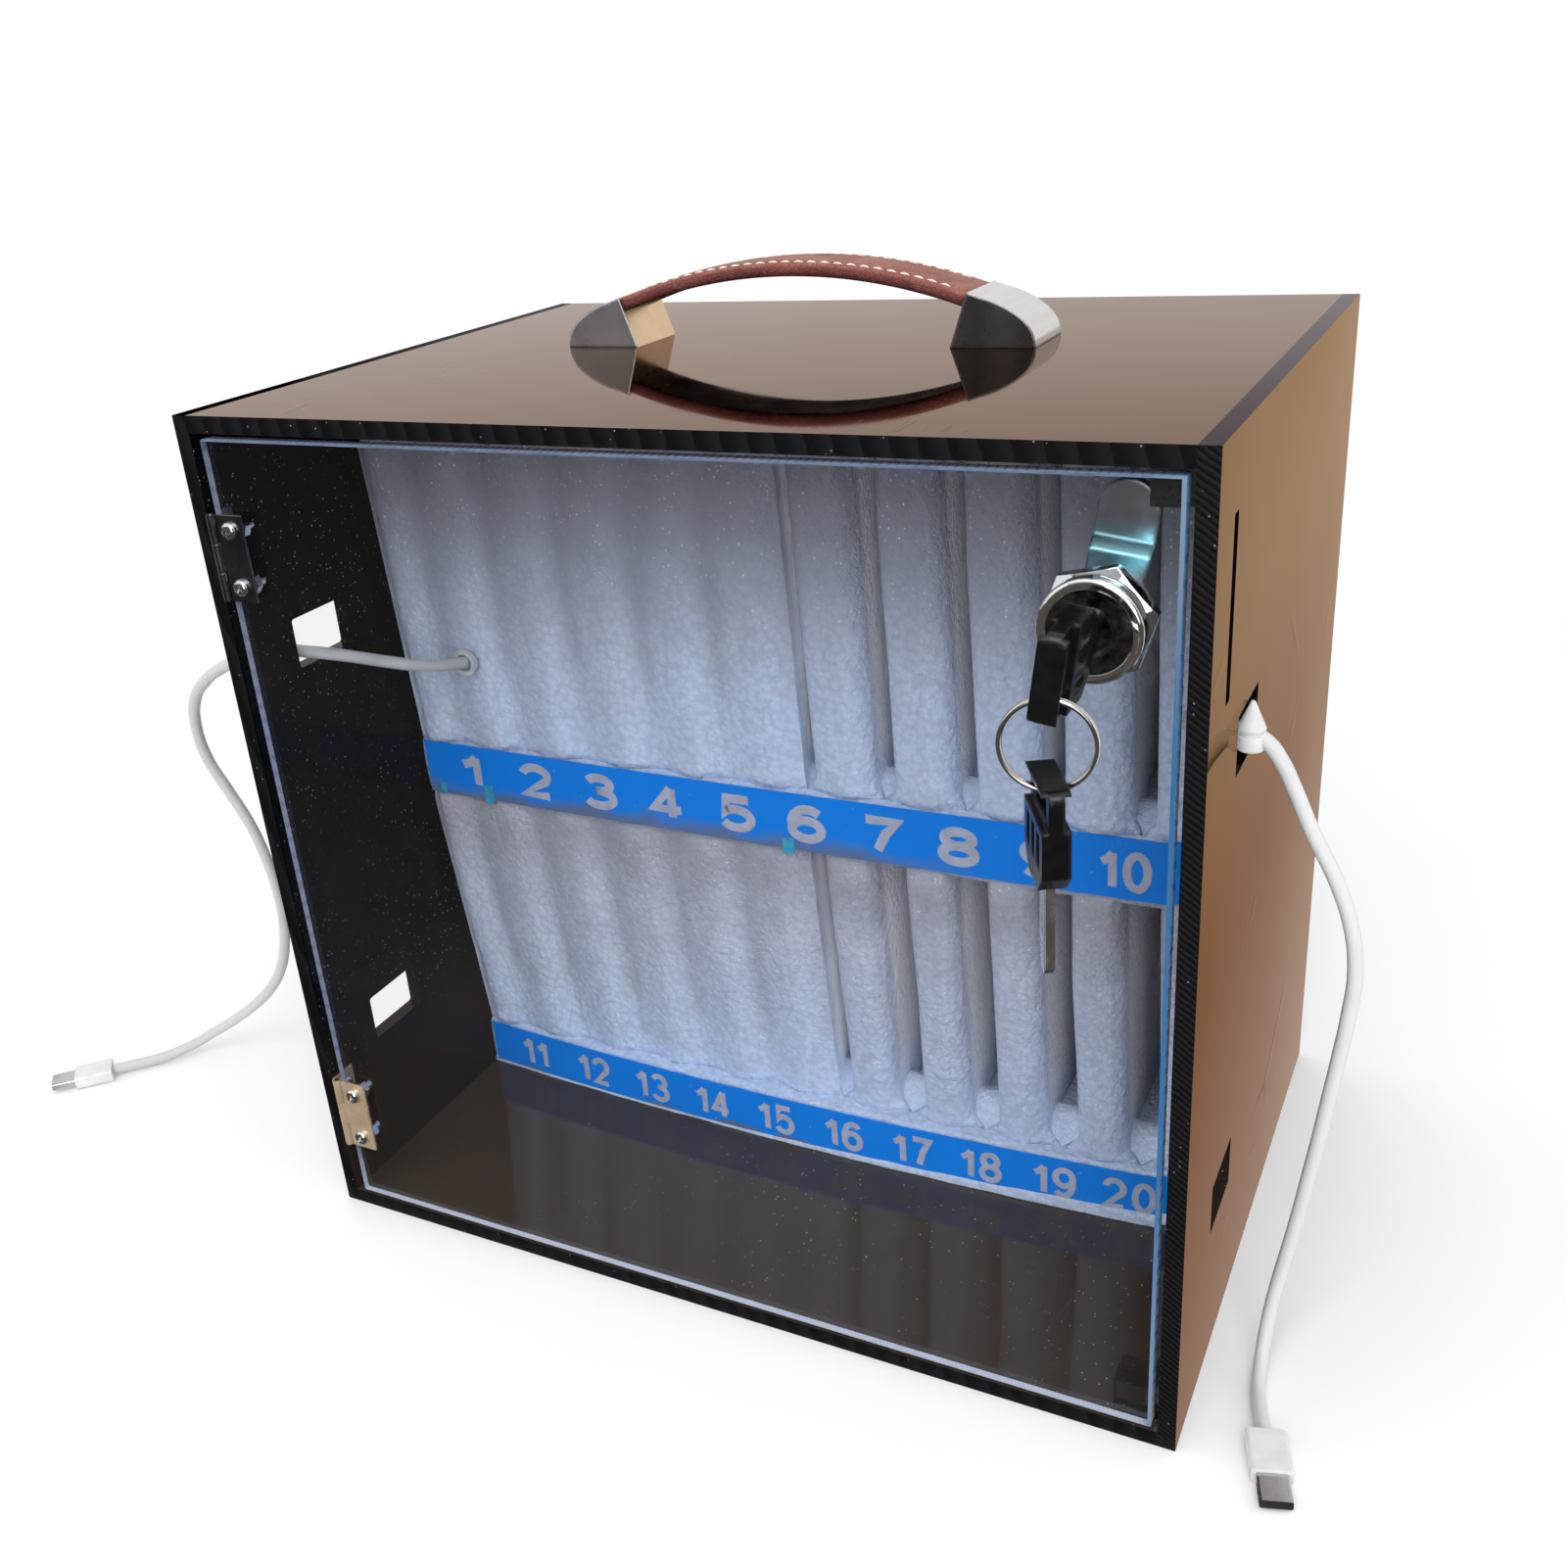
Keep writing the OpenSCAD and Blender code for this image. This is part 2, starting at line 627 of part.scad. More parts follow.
module lock_plug() {
    color(dark) at_lock() difference() {
        union() {
            bar_y(0, 0, plug_head_d, plug_face, plug_step);
            bar_y(0, 0, plug_d, plug_face + 0.5, plug_rear);
            translate([-tail_w / 2, plug_rear - 1, -tail_w / 2])
                cube([tail_w, cam_back - 0.2 - plug_rear + 1, tail_w]);
        }
        keyway(keyway_gap);
        bar_y(0, 0, cam_screw_d + 0.1, plug_rear, cam_back + 1);
        // dished face round the keyway
        translate([0, plug_face - e, 0]) rotate([-90, 0, 0])
            cylinder(d1 = plug_head_d * 0.62, d2 = plug_head_d * 0.5, h = 0.6);
    }
}

module square_hole(y0, y1) {
    w = tail_w + 2 * tail_gap;
    translate([-w / 2, y0, -w / 2]) cube([w, y1 - y0, w]);
}

module stop_washer()
    color(steel) at_lock() difference() {
        bar_y(0, 0, plug_d + 2.4, plug_rear + 0.05, plug_rear + 0.05 + washer_t);
        square_hole(plug_rear - 1, cam_foot + 1);
    }

// a strip with a joggle, seen from the side, cut to the cam's outline from the front
module lock_cam() {
    r = cam_w / 2;
    bend = 12.5;      // height over the lock axis where the joggle starts
    rise = 3;         // length of the joggle
    color(steel) at_lock() difference() {
        intersection() {
            rotate([90, 0, 90]) linear_extrude(2 * cam_w, center = true) polygon([
                [cam_foot, -r - 2], [cam_back, -r - 2],
                [cam_back, bend - 0.5], [cam_blade + cam_t, bend + rise - 0.5],
                [cam_blade + cam_t, cam_len + 1], [cam_blade, cam_len + 1],
                [cam_blade, bend + rise + 0.5], [cam_foot, bend + 0.5]]);
            translate([0, cam_blade + cam_t + 1, 0]) rotate([90, 0, 0])
                linear_extrude(cam_joggle + cam_t + 2) {
                    circle(r + 1);
                    translate([-r, 0]) square([cam_w, cam_len - r]);
                    translate([0, cam_len - r]) circle(r);
                }
        }
        square_hole(cam_foot - 1, cam_blade + cam_t + 1);
    }
}

module cam_screw()
    color(steel) at_lock() translate([0, cam_back, 0]) rotate([-90, 0, 0])
        pan_screw(cam_screw_d, tail_w * 1.5, 2.4, cam_back - plug_rear - 0.4);

// ---------------------------------------------------------------- keys

// outline of the grip in the key's own frame
module bow_outline() {
    r = bow_corner_r;
    h = bow_w / 2;
    polygon([[bow_stand, -h * 0.5], [bow_stand + 5, -h], [bow_end - r, -h],
             [bow_end, -h + r], [bow_end, h - r], [bow_end - r, h],
             [bow_stand + 5, h], [bow_stand, h * 0.5]]);
    for (s = [-1, 1]) translate([bow_end - r, s * (h - r)]) circle(r);
}

module bow_shape() {
    recess = ring_slot_w / 2 + ring_slot_bevel + 0.2;
    panel_x = slot_mid - recess;
    slot_end = bow_end - ring_slot_edge;
    difference() {
        linear_extrude(bow_t, center = true) bow_outline();
        linear_extrude(bow_t + 2, center = true) translate([slot_mid, 0])
            round_rect(ring_slot_w, ring_slot_len, 1.2);
        // pressed panels on both sides, open at the edges where the ring passes
        for (s = [-1, 1]) translate([0, 0, s * (bow_t / 2 - bow_panel_depth / 2 + 0.5)]) {
            linear_extrude(bow_panel_depth + 1, center = true)
                translate([slot_mid, 0]) square([2 * recess, bow_w + 2], center = true);
            for (y = [-1, 0, 1]) linear_extrude(bow_panel_depth, center = true)
                translate([(bow_stand + 6 + panel_x - 2) / 2, y * bow_w * 0.27])
                    square([panel_x - 2 - bow_stand - 6, bow_w * 0.14], center = true);
        }
        // bevels on the end of the slot that hangs on the ring
        for (s = [0, 1]) mirror([0, 0, s]) rotate([90, 0, 0])
            linear_extrude(ring_slot_len, center = true)
                polygon([[slot_end - 1, bar_t / 2 - ring_slot_bevel - 1],
                         [slot_end + ring_slot_bevel, bar_t / 2],
                         [slot_end - 1, bar_t / 2 + 1]]);
        // seat of the blade
        linear_extrude(blade_t + 0.1, center = true)
            translate([bow_stand + blade_root / 2, 0])
                square([blade_root + 0.1, blade_w + 0.1], center = true);
    }
}

// the blade, from its root in the grip to its tip, with a dimpled edge
module blade_shape() {
    tip = bow_stand - blade_len;
    difference() {
        linear_extrude(blade_t, center = true) polygon([
            [bow_stand + blade_root, -blade_w / 2], [bow_stand + blade_root, blade_w / 2],
            [tip + 2.5, blade_w / 2], [tip, blade_w / 6], [tip, -blade_w / 6],
            [tip + 2.5, -blade_w / 2]]);
        for (s = [-1, 1], i = [0:4])
            translate([tip + 4 + 3 * i, s * (0.6 + 0.5 * (i % 2)), s * (blade_t / 2 - 0.35)])
                cylinder(d = 1.5, h = 0.8, center = true);
        for (s = [-1, 1])
            translate([tip - 1, -0.4 + s * 2.3, -blade_t / 2 - 1 + (s > 0 ? 0 : blade_t + 0.6)])
                cube([blade_len - 1, 0.8, 1.4]);
    }
}

module in_lock()
    translate([lock[0], plug_face, lock[2]]) rotate([0, lock_rest_deg, 0])
        rotate([90, 0, -90]) children();

// the spare key hangs with the end of its slot on the lowest point of the ring
module on_ring()
    translate([ring_c[0], ring_c[1], hang_z]) rotate([0, -90, 180 + spare_yaw])
        translate([-(bow_end - ring_slot_edge - ring_wire_d / 2 - ring_play), 0, 0])
            children();

module key_bow() color(dark) in_lock() bow_shape();
module key_blade() color(steel) in_lock() blade_shape();
module spare_key_bow() color(dark) on_ring() bow_shape();
module spare_key_blade() color(steel) on_ring() blade_shape();

module key_ring()
    color(chrome) translate(ring_c) rotate([0, 0, ring_yaw]) rotate([90, 0, 0])
        rotate_extrude($fn = 64) translate([ring_r, 0]) {
            for (s = [-1, 1]) translate([0, s * 0.45]) circle(d = ring_wire_d, $fn = 16);
            square([ring_wire_d * 0.7, 0.9], center = true);
        }

// ---------------------------------------------------------------- handle

// side view of an end cap: radial inner face, a straight run, then a flattened quarter
// ellipse down to its outer foot
module cap_outline() {
    bend = [grip_half + cap_run, cap_in_h - cap_run * tan(arc_a)];
    out = handle_len / 2 - bend[0];
    polygon(concat([[cap_foot, 0], [grip_half, cap_in_h]],
        [for (t = [0:10:90])
            [bend[0] + out * sin(t), bend[1] * cos(t) * (1 - cap_flat * sin(2 * t))]]));
}

module handle_cap(s)
    color("#b9b6b0") difference() {
        translate(handle_c) rotate([90, 0, 0]) linear_extrude(handle_w, center = true)
            mirror([s < 0 ? 1 : 0, 0]) cap_outline();
        translate([handle_c[0] + s * cap_x, handle_c[1], box_h - 1])
            cylinder(d = handle_screw_d + 0.1, h = handle_screw_depth + 1.3);
    }

module handle_cap_left() handle_cap(-1);
module handle_cap_right() handle_cap(1);

module handle_grip() {
    h = grip_t / 2;
    color(leather) translate(handle_c + [0, 0, arc_c]) rotate([90, 0, 0])
        rotate(90 - arc_a) rotate_extrude(angle = 2 * arc_a, $fn = 96)
            translate([arc_r - h, 0]) round_rect(grip_t, handle_w - 1, 1.4);
}

module handle_screws()
    color(steel) for (s = [-1, 1])
        translate([handle_c[0] + s * cap_x, handle_c[1], in_top]) rotate([180, 0, 0])
            pan_screw(handle_screw_d, handle_head_d, handle_head_h,
                      panel_t + handle_screw_depth);

// ---------------------------------------------------------------- foam and strips

module foam_back()
    color(foam) translate([-foam_x, foam_y0, foam_z0])
        cube([2 * foam_x, foam_back_t, foam_z1 - foam_z0]);

// a floor of a tier, its front edge bulging a little
module tier_floor(z0, z1, back, bulge)
    color(foam) translate([0, 0, z0]) linear_extrude(z1 - z0) polygon(concat(
        [[foam_x, foam_y0], [-foam_x, foam_y0]],
        [for (k = [-12:12]) let (x = foam_x * k / 12) [x, bulge_y(x, back, bulge)]]));

module foam_floor_upper()
    tier_floor(floor_high_bottom, floor_high_top, floor_high_front, floor_high_bulge);
module foam_floor_lower()
    tier_floor(foam_z0, floor_low_top, floor_low_front, floor_low_bulge);

// the walls between the slots, and one beside each end slot
module dividers(z0, z1)
    color(foam) for (i = [0:slots]) {
        x0 = i == 0 ? -foam_x : slot_x(i - 1) + slot_w / 2;
        x1 = i == slots ? foam_x : slot_x(i) - slot_w / 2;
        translate([x0, 0, 0]) rotate([90, 0, 90]) linear_extrude(x1 - x0)
            polygon([[lean_y(z0), z0], [foam_y0, z0], [foam_y0, z1], [lean_y(z1), z1]]);
    }

// the upper walls give way round the heads of the handle screws
module foam_dividers_upper() difference() {
    dividers(floor_high_top, foam_z1);
    for (s = [-1, 1])
        translate([handle_c[0] + s * cap_x, handle_c[1], in_top - handle_head_h - foam_gap])
            cylinder(d = handle_head_d + 2 * foam_gap, h = handle_head_h + 1);
}
module foam_dividers_lower() dividers(floor_low_top, floor_high_bottom);

// a printed strip glued along the front of a tier's floor
module number_strip(z0, h, back, bulge) {
    w = foam_x - strip_end;
    color(blue) intersection() {
        translate([0, 0, z0]) linear_extrude(h) polygon(concat(
            [for (k = [-12:12]) let (x = foam_x * k / 12)
                [x, bulge_y(x, back, bulge) - strip_t]],
            [for (k = [12:-1:-12]) let (x = foam_x * k / 12)
                [x, bulge_y(x, back, bulge)]]));
        translate([-w, front, z0 - 1]) cube([2 * w, box_d, h + 2]);
    }
}

module number_strip_upper()
    number_strip(floor_high_bottom + (floor_high_t - strip_high_h) / 2, strip_high_h,
                 floor_high_front, floor_high_bulge);
module number_strip_lower()
    number_strip(floor_low_top - strip_low_drop - strip_low_h, strip_low_h,
                 floor_low_front, floor_low_bulge);

// ---------------------------------------------------------------- cables

module cable_left() color(white) tube(cable_left_route, cable_d, 8);
module cable_right() color(white) tube(cable_right_route, cable_d, 8);

// ring on the foam where the left cable goes in, leaning with the foam
module cable_left_grommet() {
    p = cable_left_route[0];
    lean = atan((divider_mid_front - divider_top_front) / (foam_z1 - floor_high_top));
    color(white) translate([p[0], lean_y(p[2]) - 0.3, p[2]])
        rotate([90 + lean, 0, 0]) difference() {
            cylinder(d = grommet_d, h = grommet_t);
            translate([0, 0, -1]) cylinder(d = cable_d + 1.4, h = grommet_t + 2);
        }
}

// tapered sleeve and its band, standing in the mouth of the upper right port
module cable_right_sleeve() {
    r = sleeve_d / 2;
    color(white) translate(sleeve_at) rotate_extrude() polygon([
        [0, 0], [r - 0.3, 0], [r, 0.5], [r, 3.6], [r - 0.3, 4], [r - 0.7, 4.1],
        [r - 0.7, 5.1], [r - 0.1, 5.3], [r, 5.8], [0.5, sleeve_h], [0, sleeve_h]]);
}

// a small charging plug lying on the table at the end of a cable
module at_plug(route, turn)
    translate([route[len(route) - 1][0], route[len(route) - 1][1], 0]) rotate(turn) children();

module plug_body(route, turn)
    color(white) at_plug(route, turn) rotate([90, 0, 90])
        linear_extrude(plug_len) translate([0, plug_h / 2]) round_rect(plug_w, plug_h, 1.2);

module plug_shell(route, turn)
    color(steel) at_plug(route, turn) translate([plug_len, 0, plug_h / 2])
        rotate([90, 0, 90]) linear_extrude(shell_len) round_rect(shell_w, shell_h, 0.6);

module cable_left_plug_body() plug_body(cable_left_route, left_plug_turn);
module cable_left_plug_shell() plug_shell(cable_left_route, left_plug_turn);
module cable_right_plug_body() plug_body(cable_right_route, right_plug_turn);
module cable_right_plug_shell() plug_shell(cable_right_route, right_plug_turn);

// ---------------------------------------------------------------- what is drawn

side_panel_left();
side_panel_right();
top_panel();
bottom_panel();
back_panel();
door_panel();
hinge_wall_leaves();
hinge_door_leaves();
hinge_pins();
hinge_door_screws();
hinge_door_nuts();
hinge_wall_screws();
lock_housing();
lock_nut();
lock_plug();
stop_washer();
lock_cam();
cam_screw();
key_blade();
key_bow();
key_ring();
spare_key_blade();
spare_key_bow();
handle_grip();
handle_cap_left();
handle_cap_right();
handle_screws();
door_stop_upper();
door_stop_lower();
foam_back();
foam_floor_upper();
foam_floor_lower();
foam_dividers_upper();
foam_dividers_lower();
number_strip_upper();
number_strip_lower();
cable_left();
cable_left_grommet();
cable_left_plug_body();
cable_left_plug_shell();
cable_right();
cable_right_sleeve();
cable_right_plug_body();
cable_right_plug_shell();
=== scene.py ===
import bpy
import math
from mathutils import Matrix, Vector, noise


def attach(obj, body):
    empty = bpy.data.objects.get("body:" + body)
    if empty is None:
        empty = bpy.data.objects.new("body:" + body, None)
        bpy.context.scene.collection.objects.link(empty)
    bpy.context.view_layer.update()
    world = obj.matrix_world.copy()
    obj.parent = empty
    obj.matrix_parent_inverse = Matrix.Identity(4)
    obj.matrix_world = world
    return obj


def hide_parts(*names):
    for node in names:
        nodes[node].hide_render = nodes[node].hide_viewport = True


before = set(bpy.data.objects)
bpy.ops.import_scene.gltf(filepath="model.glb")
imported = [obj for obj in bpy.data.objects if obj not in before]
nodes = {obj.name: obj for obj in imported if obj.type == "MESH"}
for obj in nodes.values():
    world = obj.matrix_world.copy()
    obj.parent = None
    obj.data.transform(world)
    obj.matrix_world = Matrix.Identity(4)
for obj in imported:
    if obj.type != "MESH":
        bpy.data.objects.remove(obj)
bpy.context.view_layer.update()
scene = bpy.context.scene

# ------------------------------------------------------------------ camera

# the photograph's camera, solved from the box's corners
cam_data = bpy.data.cameras.new("camera")
cam = bpy.data.objects.new("camera", cam_data)
scene.collection.objects.link(cam)
scene.camera = cam
right = Vector((0.89047, 0.44856, -0.07655))
up = Vector((-0.12279, 0.39885, 0.90876))
back = Vector((0.43816, -0.79982, 0.41025))
m = Matrix((right, up, back)).transposed().to_4x4()
m.translation = Vector((0.20642, -0.42158, 0.35139))
cam.matrix_world = m
cam_data.sensor_width = 36
cam_data.lens = 35.914
cam_data.shift_x = 0.0213
cam_data.shift_y = -0.0035
cam_data.clip_start = 0.01
cam_data.clip_end = 50

# ------------------------------------------------------------------ sizes, in metres

# outside faces of the box: half its width, its front, back and top
BOX_X = 0.145
FRONT = -0.101
BACK = 0.101
BOX_TOP = 0.276
# a face this close to a plane counts as lying in it
NEAR = 0.0005
# the foam insert: half its width, where its rear sheet starts and ends, its two floors and its top
FOAM_X = 0.1397
FOAM_Y0 = 0.0607
FOAM_Y1 = 0.0957
LOW = (0.0053, 0.024)
HIGH = (0.1275, 0.1475)
FOAM_TOP = 0.2707
BETWEEN_TIERS = 0.137
# how far behind the front the dividers stand at the low floor, at the high floor and at the top
LEAN_LOW, LEAN_MID, LEAN_TOP = 0.0845, 0.073, 0.0645
# each floor's front: how far behind the box's front at its ends, and how much it bulges
HIGH_FRONT = (0.075, 0.002)
LOW_FRONT = (0.086, 0.006)
# thickness of the number film, and the cords' diameter
FILM_T = 0.0004
CORD_D = 0.0040
SLOT_FIRST, SLOT_PITCH = -0.1212, 0.0261
SLOTS = [SLOT_FIRST + SLOT_PITCH * i for i in range(10)]
SLOT_W = 0.014
# middle of the handle's foot; its arc's radius, centre's height from there and half angle
HANDLE = Vector((-0.0043, 0.0195, BOX_TOP))
ARC_R, ARC_C, ARC_A = 0.173955, -0.149455, math.radians(19.02)
# half the grip's width, and where its stitches run as a share of that
GRIP_HALF, STITCH_AT = 0.0115, 0.76


def bulge_y(x, behind, bulge):
    """Front of a tier's floor."""
    return FRONT + behind - bulge * (1 - (x / FOAM_X) ** 2)


def lean_y(z):
    """Front of the dividers at a height."""
    if z < HIGH[1]:
        t = (z - LOW[1]) / (HIGH[0] - LOW[1])
        return FRONT + LEAN_LOW + (LEAN_MID - LEAN_LOW) * min(t, 1)
    t = (z - HIGH[1]) / (FOAM_TOP - HIGH[1])
    return FRONT + LEAN_MID + (LEAN_TOP - LEAN_MID) * t


# ------------------------------------------------------------------ node helpers


class Paint:
    """A material's node tree with short calls for what the materials here need."""

    def __init__(self, name):
        self.mat = bpy.data.materials.new(name)
        self.mat.use_nodes = True
        self.nt = self.mat.node_tree
        self.nt.nodes.clear()
        self.out = self.nt.nodes.new("ShaderNodeOutputMaterial")
        self.b = self.nt.nodes.new("ShaderNodeBsdfPrincipled")
        self.nt.links.new(self.b.outputs[0], self.out.inputs[0])
        self.co = self.nt.nodes.new("ShaderNodeTexCoord").outputs["Object"]

    def put(self, socket, value):
        if isinstance(value, bpy.types.NodeSocket):
            self.nt.links.new(value, socket)
        elif isinstance(value, (tuple, list)) and len(value) == 3 and socket.type == "RGBA":
            socket.default_value = (*value, 1)
        else:
            socket.default_value = value

    def set(self, **values):
        for k, v in values.items():
            self.put(self.b.inputs[k.replace("_", " ")], v)

    def stretch(self, scale, turn=(0, 0, 0)):
        n = self.nt.nodes.new("ShaderNodeMapping")
        self.put(n.inputs["Vector"], self.co)
        n.inputs["Scale"].default_value = scale
        n.inputs["Rotation"].default_value = turn
        return n.outputs[0]

    def noise(self, scale, detail=4, rough=0.55, vec=None):
        n = self.nt.nodes.new("ShaderNodeTexNoise")
        self.put(n.inputs["Vector"], vec or self.co)
        n.inputs["Scale"].default_value = scale
        n.inputs["Detail"].default_value = detail
        n.inputs["Roughness"].default_value = rough
        return n.outputs[0]

    def cells(self, scale, feature="F1", vec=None):
        n = self.nt.nodes.new("ShaderNodeTexVoronoi")
        n.feature = feature
        self.put(n.inputs["Vector"], vec or self.co)
        n.inputs["Scale"].default_value = scale
        return n.outputs["Distance"]

    def mix(self, fac, a, b):
        n = self.nt.nodes.new("ShaderNodeMix")
        n.data_type = "RGBA"
        self.put(n.inputs[0], fac)
        self.put(n.inputs[6], a)
        self.put(n.inputs[7], b)
        return n.outputs[2]

    def math(self, op, a, b=0.0):
        n = self.nt.nodes.new("ShaderNodeMath")
        n.operation = op
        self.put(n.inputs[0], a)
        self.put(n.inputs[1], b)
        return n.outputs[0]

    def span(self, value, a, b, lo=0.0, hi=1.0):
        """Maps a..b to lo..hi, clamped and smooth."""
        n = self.nt.nodes.new("ShaderNodeMapRange")
        n.interpolation_type = "SMOOTHSTEP"
        self.put(n.inputs["Value"], value)
        n.inputs["From Min"].default_value = a
        n.inputs["From Max"].default_value = b
        n.inputs["To Min"].default_value = lo
        n.inputs["To Max"].default_value = hi
        return n.outputs[0]

    def axis(self, which):
        n = self.nt.nodes.new("ShaderNodeSeparateXYZ")
        self.put(n.inputs[0], self.co)
        return n.outputs["XYZ".index(which)]

    def bump(self, height, strength=0.3, distance=0.001, normal=None):
        n = self.nt.nodes.new("ShaderNodeBump")
        self.put(n.inputs["Height"], height)
        n.inputs["Strength"].default_value = strength
        n.inputs["Distance"].default_value = distance
        if normal is not None:
            self.put(n.inputs["Normal"], normal)
        return n.outputs[0]

    def rounded(self, radius):
        """The normal as if the edges were softened by this radius."""
        n = self.nt.nodes.new("ShaderNodeBevel")
        n.samples = 6
        n.inputs["Radius"].default_value = radius
        return n.outputs[0]

    def wave(self, scale, turn=(0, 0, 0), distort=1.0, detail=2, profile="SIN"):
        n = self.nt.nodes.new("ShaderNodeTexWave")
        n.wave_profile = profile
        self.put(n.inputs["Vector"], self.stretch((1, 1, 1), turn))
        n.inputs["Scale"].default_value = scale
        n.inputs["Distortion"].default_value = distort
        n.inputs["Detail"].default_value = detail
        return n.outputs["Fac"]


def specks(p, scale, size, share):
    """Small scattered spots: 1 on a spot, 0 between. share is how many of the cells have one."""
    n = p.nt.nodes.new("ShaderNodeTexVoronoi")
    p.put(n.inputs["Vector"], p.co)
    n.inputs["Scale"].default_value = scale
    spot = p.span(n.outputs["Distance"], size, size * 0.4)
    pick = p.nt.nodes.new("ShaderNodeSeparateColor")
    p.put(pick.inputs[0], n.outputs["Color"])
    chosen = p.math("LESS_THAN", pick.outputs[0], share)
    return p.math("MULTIPLY", spot, chosen)


def hairlines(p, scale, turn, width=0.02):
    """Long thin scratches along one direction."""
    v = p.stretch((scale, scale * 0.04, scale * 0.04), turn)
    line = p.cells(1.0, "DISTANCE_TO_EDGE", v)
    near = p.span(line, width, 0.0)
    patch = p.span(p.noise(14, 2), 0.55, 0.68)
    return p.math("MULTIPLY", near, patch)


# ------------------------------------------------------------------ materials


def outer_acrylic(name, base, low, reflection_tint, far_reflection_tint=None):
    """Polished black acrylic seen from outside: dark head on, at a glance a mirror whose warm tint is a
    painted reflection.
    """
    p = Paint(name)
    cloud = p.noise(9, 3, 0.5)
    dust = specks(p, 900, 0.16, 0.05)
    lines = hairlines(p, 260, (0.3, 0.2, 0.6))
    body = p.mix(p.span(cloud, 0.35, 0.65), low, base)
    body = p.mix(p.math("MULTIPLY", dust, 0.35), body, (0.3, 0.28, 0.26))
    p.set(Base_Color=body, Metallic=1.0, Specular_Tint=(*reflection_tint, 1))
    # painted reflection: the mirrored tint shifts along the panel and turns darker and redder low down at the
    # front, standing in for what the panel reflects there
    if far_reflection_tint:
        along = p.math("ADD", p.axis("Y"), p.span(cloud, 0.3, 0.7, -0.02, 0.02))
        reflection_hue = p.mix(p.span(along, -0.11, 0.11), reflection_tint, far_reflection_tint)
        low_dark_reflection = p.span(p.axis("Z"), 0.25, 0.13, 0.0, 0.58)
        low_dark_reflection = p.math("MULTIPLY", low_dark_reflection, p.span(p.axis("Y"), 0.0, 0.10, 1.0, 0.6))
        p.put(p.b.inputs["Specular Tint"], p.mix(low_dark_reflection, reflection_hue, (0.30, 0.085, 0.03)))
    rough = p.span(p.noise(35, 4, 0.6), 0.3, 0.75, 0.015, 0.05)
    rough = p.math("ADD", rough, p.math("MULTIPLY", lines, 0.12))
    rough = p.math("ADD", rough, p.math("MULTIPLY", dust, 0.4))
    p.put(p.b.inputs["Roughness"], rough)
    sway = p.bump(p.noise(14, 2, 0.4), 0.10, 0.0006)
    p.put(p.b.inputs["Normal"], p.bump(lines, 0.15, 0.0002, sway))
    return p.mat


# painted reflection: each outer face of the same black acrylic gets its own reflection tint, taupe on the top
# and brown on the right side; the side rims get a dark copy on the left and a grey one on the right
top_mat = outer_acrylic("acrylic_top_painted_reflection", (0.108, 0.094, 0.084), (0.090, 0.079, 0.070), (0.74, 0.61, 0.54))
side_mat = outer_acrylic("acrylic_side_painted_reflection", (0.085, 0.067, 0.052), (0.070, 0.055, 0.043), (0.72, 0.50, 0.34),
                         (0.60, 0.33, 0.14))
rim_left_mat = outer_acrylic("acrylic_rim_left_dark_reflection", (0.020, 0.018, 0.018), (0.012, 0.012, 0.012),
                             (0.03, 0.03, 0.03))
rim_right_mat = outer_acrylic("acrylic_rim_right_painted_reflection", (0.060, 0.056, 0.058), (0.045, 0.043, 0.045),
                              (0.47, 0.43, 0.44))


def inner_acrylic(name, dark, dusty, ior, low=None):
    """Polished black acrylic inside the box, with dust and fine scratches."""
    p = Paint(name)
    patch = p.span(p.noise(11, 3, 0.6), 0.42, 0.72)
    fine = p.math("MULTIPLY", specks(p, 720, 0.25, 0.15), patch)
    coarse = p.math("MULTIPLY", specks(p, 230, 0.10, 0.05), p.span(patch, 0.0, 0.7, 0.4, 1.0))
    dust = p.math("MAXIMUM", fine, coarse)
    lines = hairlines(p, 200, (0.5, 0.1, 0.9))
    film = p.span(p.noise(24, 5, 0.65), 0.45, 0.85, 0.0, 0.5)
    body = p.mix(film, dark, dusty)
    if low:
        body = p.mix(p.span(p.axis("Z"), 0.095, 0.025), body, low)
    body = p.mix(dust, body, (0.42, 0.41, 0.41))
    p.set(Base_Color=body, IOR=ior)
    rough = p.math("ADD", p.span(film, 0.0, 0.5, 0.02, 0.07), p.math("MULTIPLY", dust, 0.6))
    p.put(p.b.inputs["Roughness"], p.math("ADD", rough, p.math("MULTIPLY", lines, 0.15)))
    grain = p.bump(lines, 0.12, 0.0002)
    p.put(p.b.inputs["Normal"], p.bump(dust, 0.4, 0.0003, grain))
    return p.mat


inside_mat = inner_acrylic("acrylic_inside", (0.0022, 0.0024, 0.0034), (0.0050, 0.0054, 0.0075), 1.16,
                           (0.026, 0.018, 0.0135))
plain_mat = inner_acrylic("acrylic_plain", (0.0060, 0.0056, 0.0052), (0.012, 0.011, 0.0105), 1.45)
sole_mat = inner_acrylic("acrylic_floor", (0.043, 0.031, 0.0225), (0.056, 0.044, 0.035), 1.5)


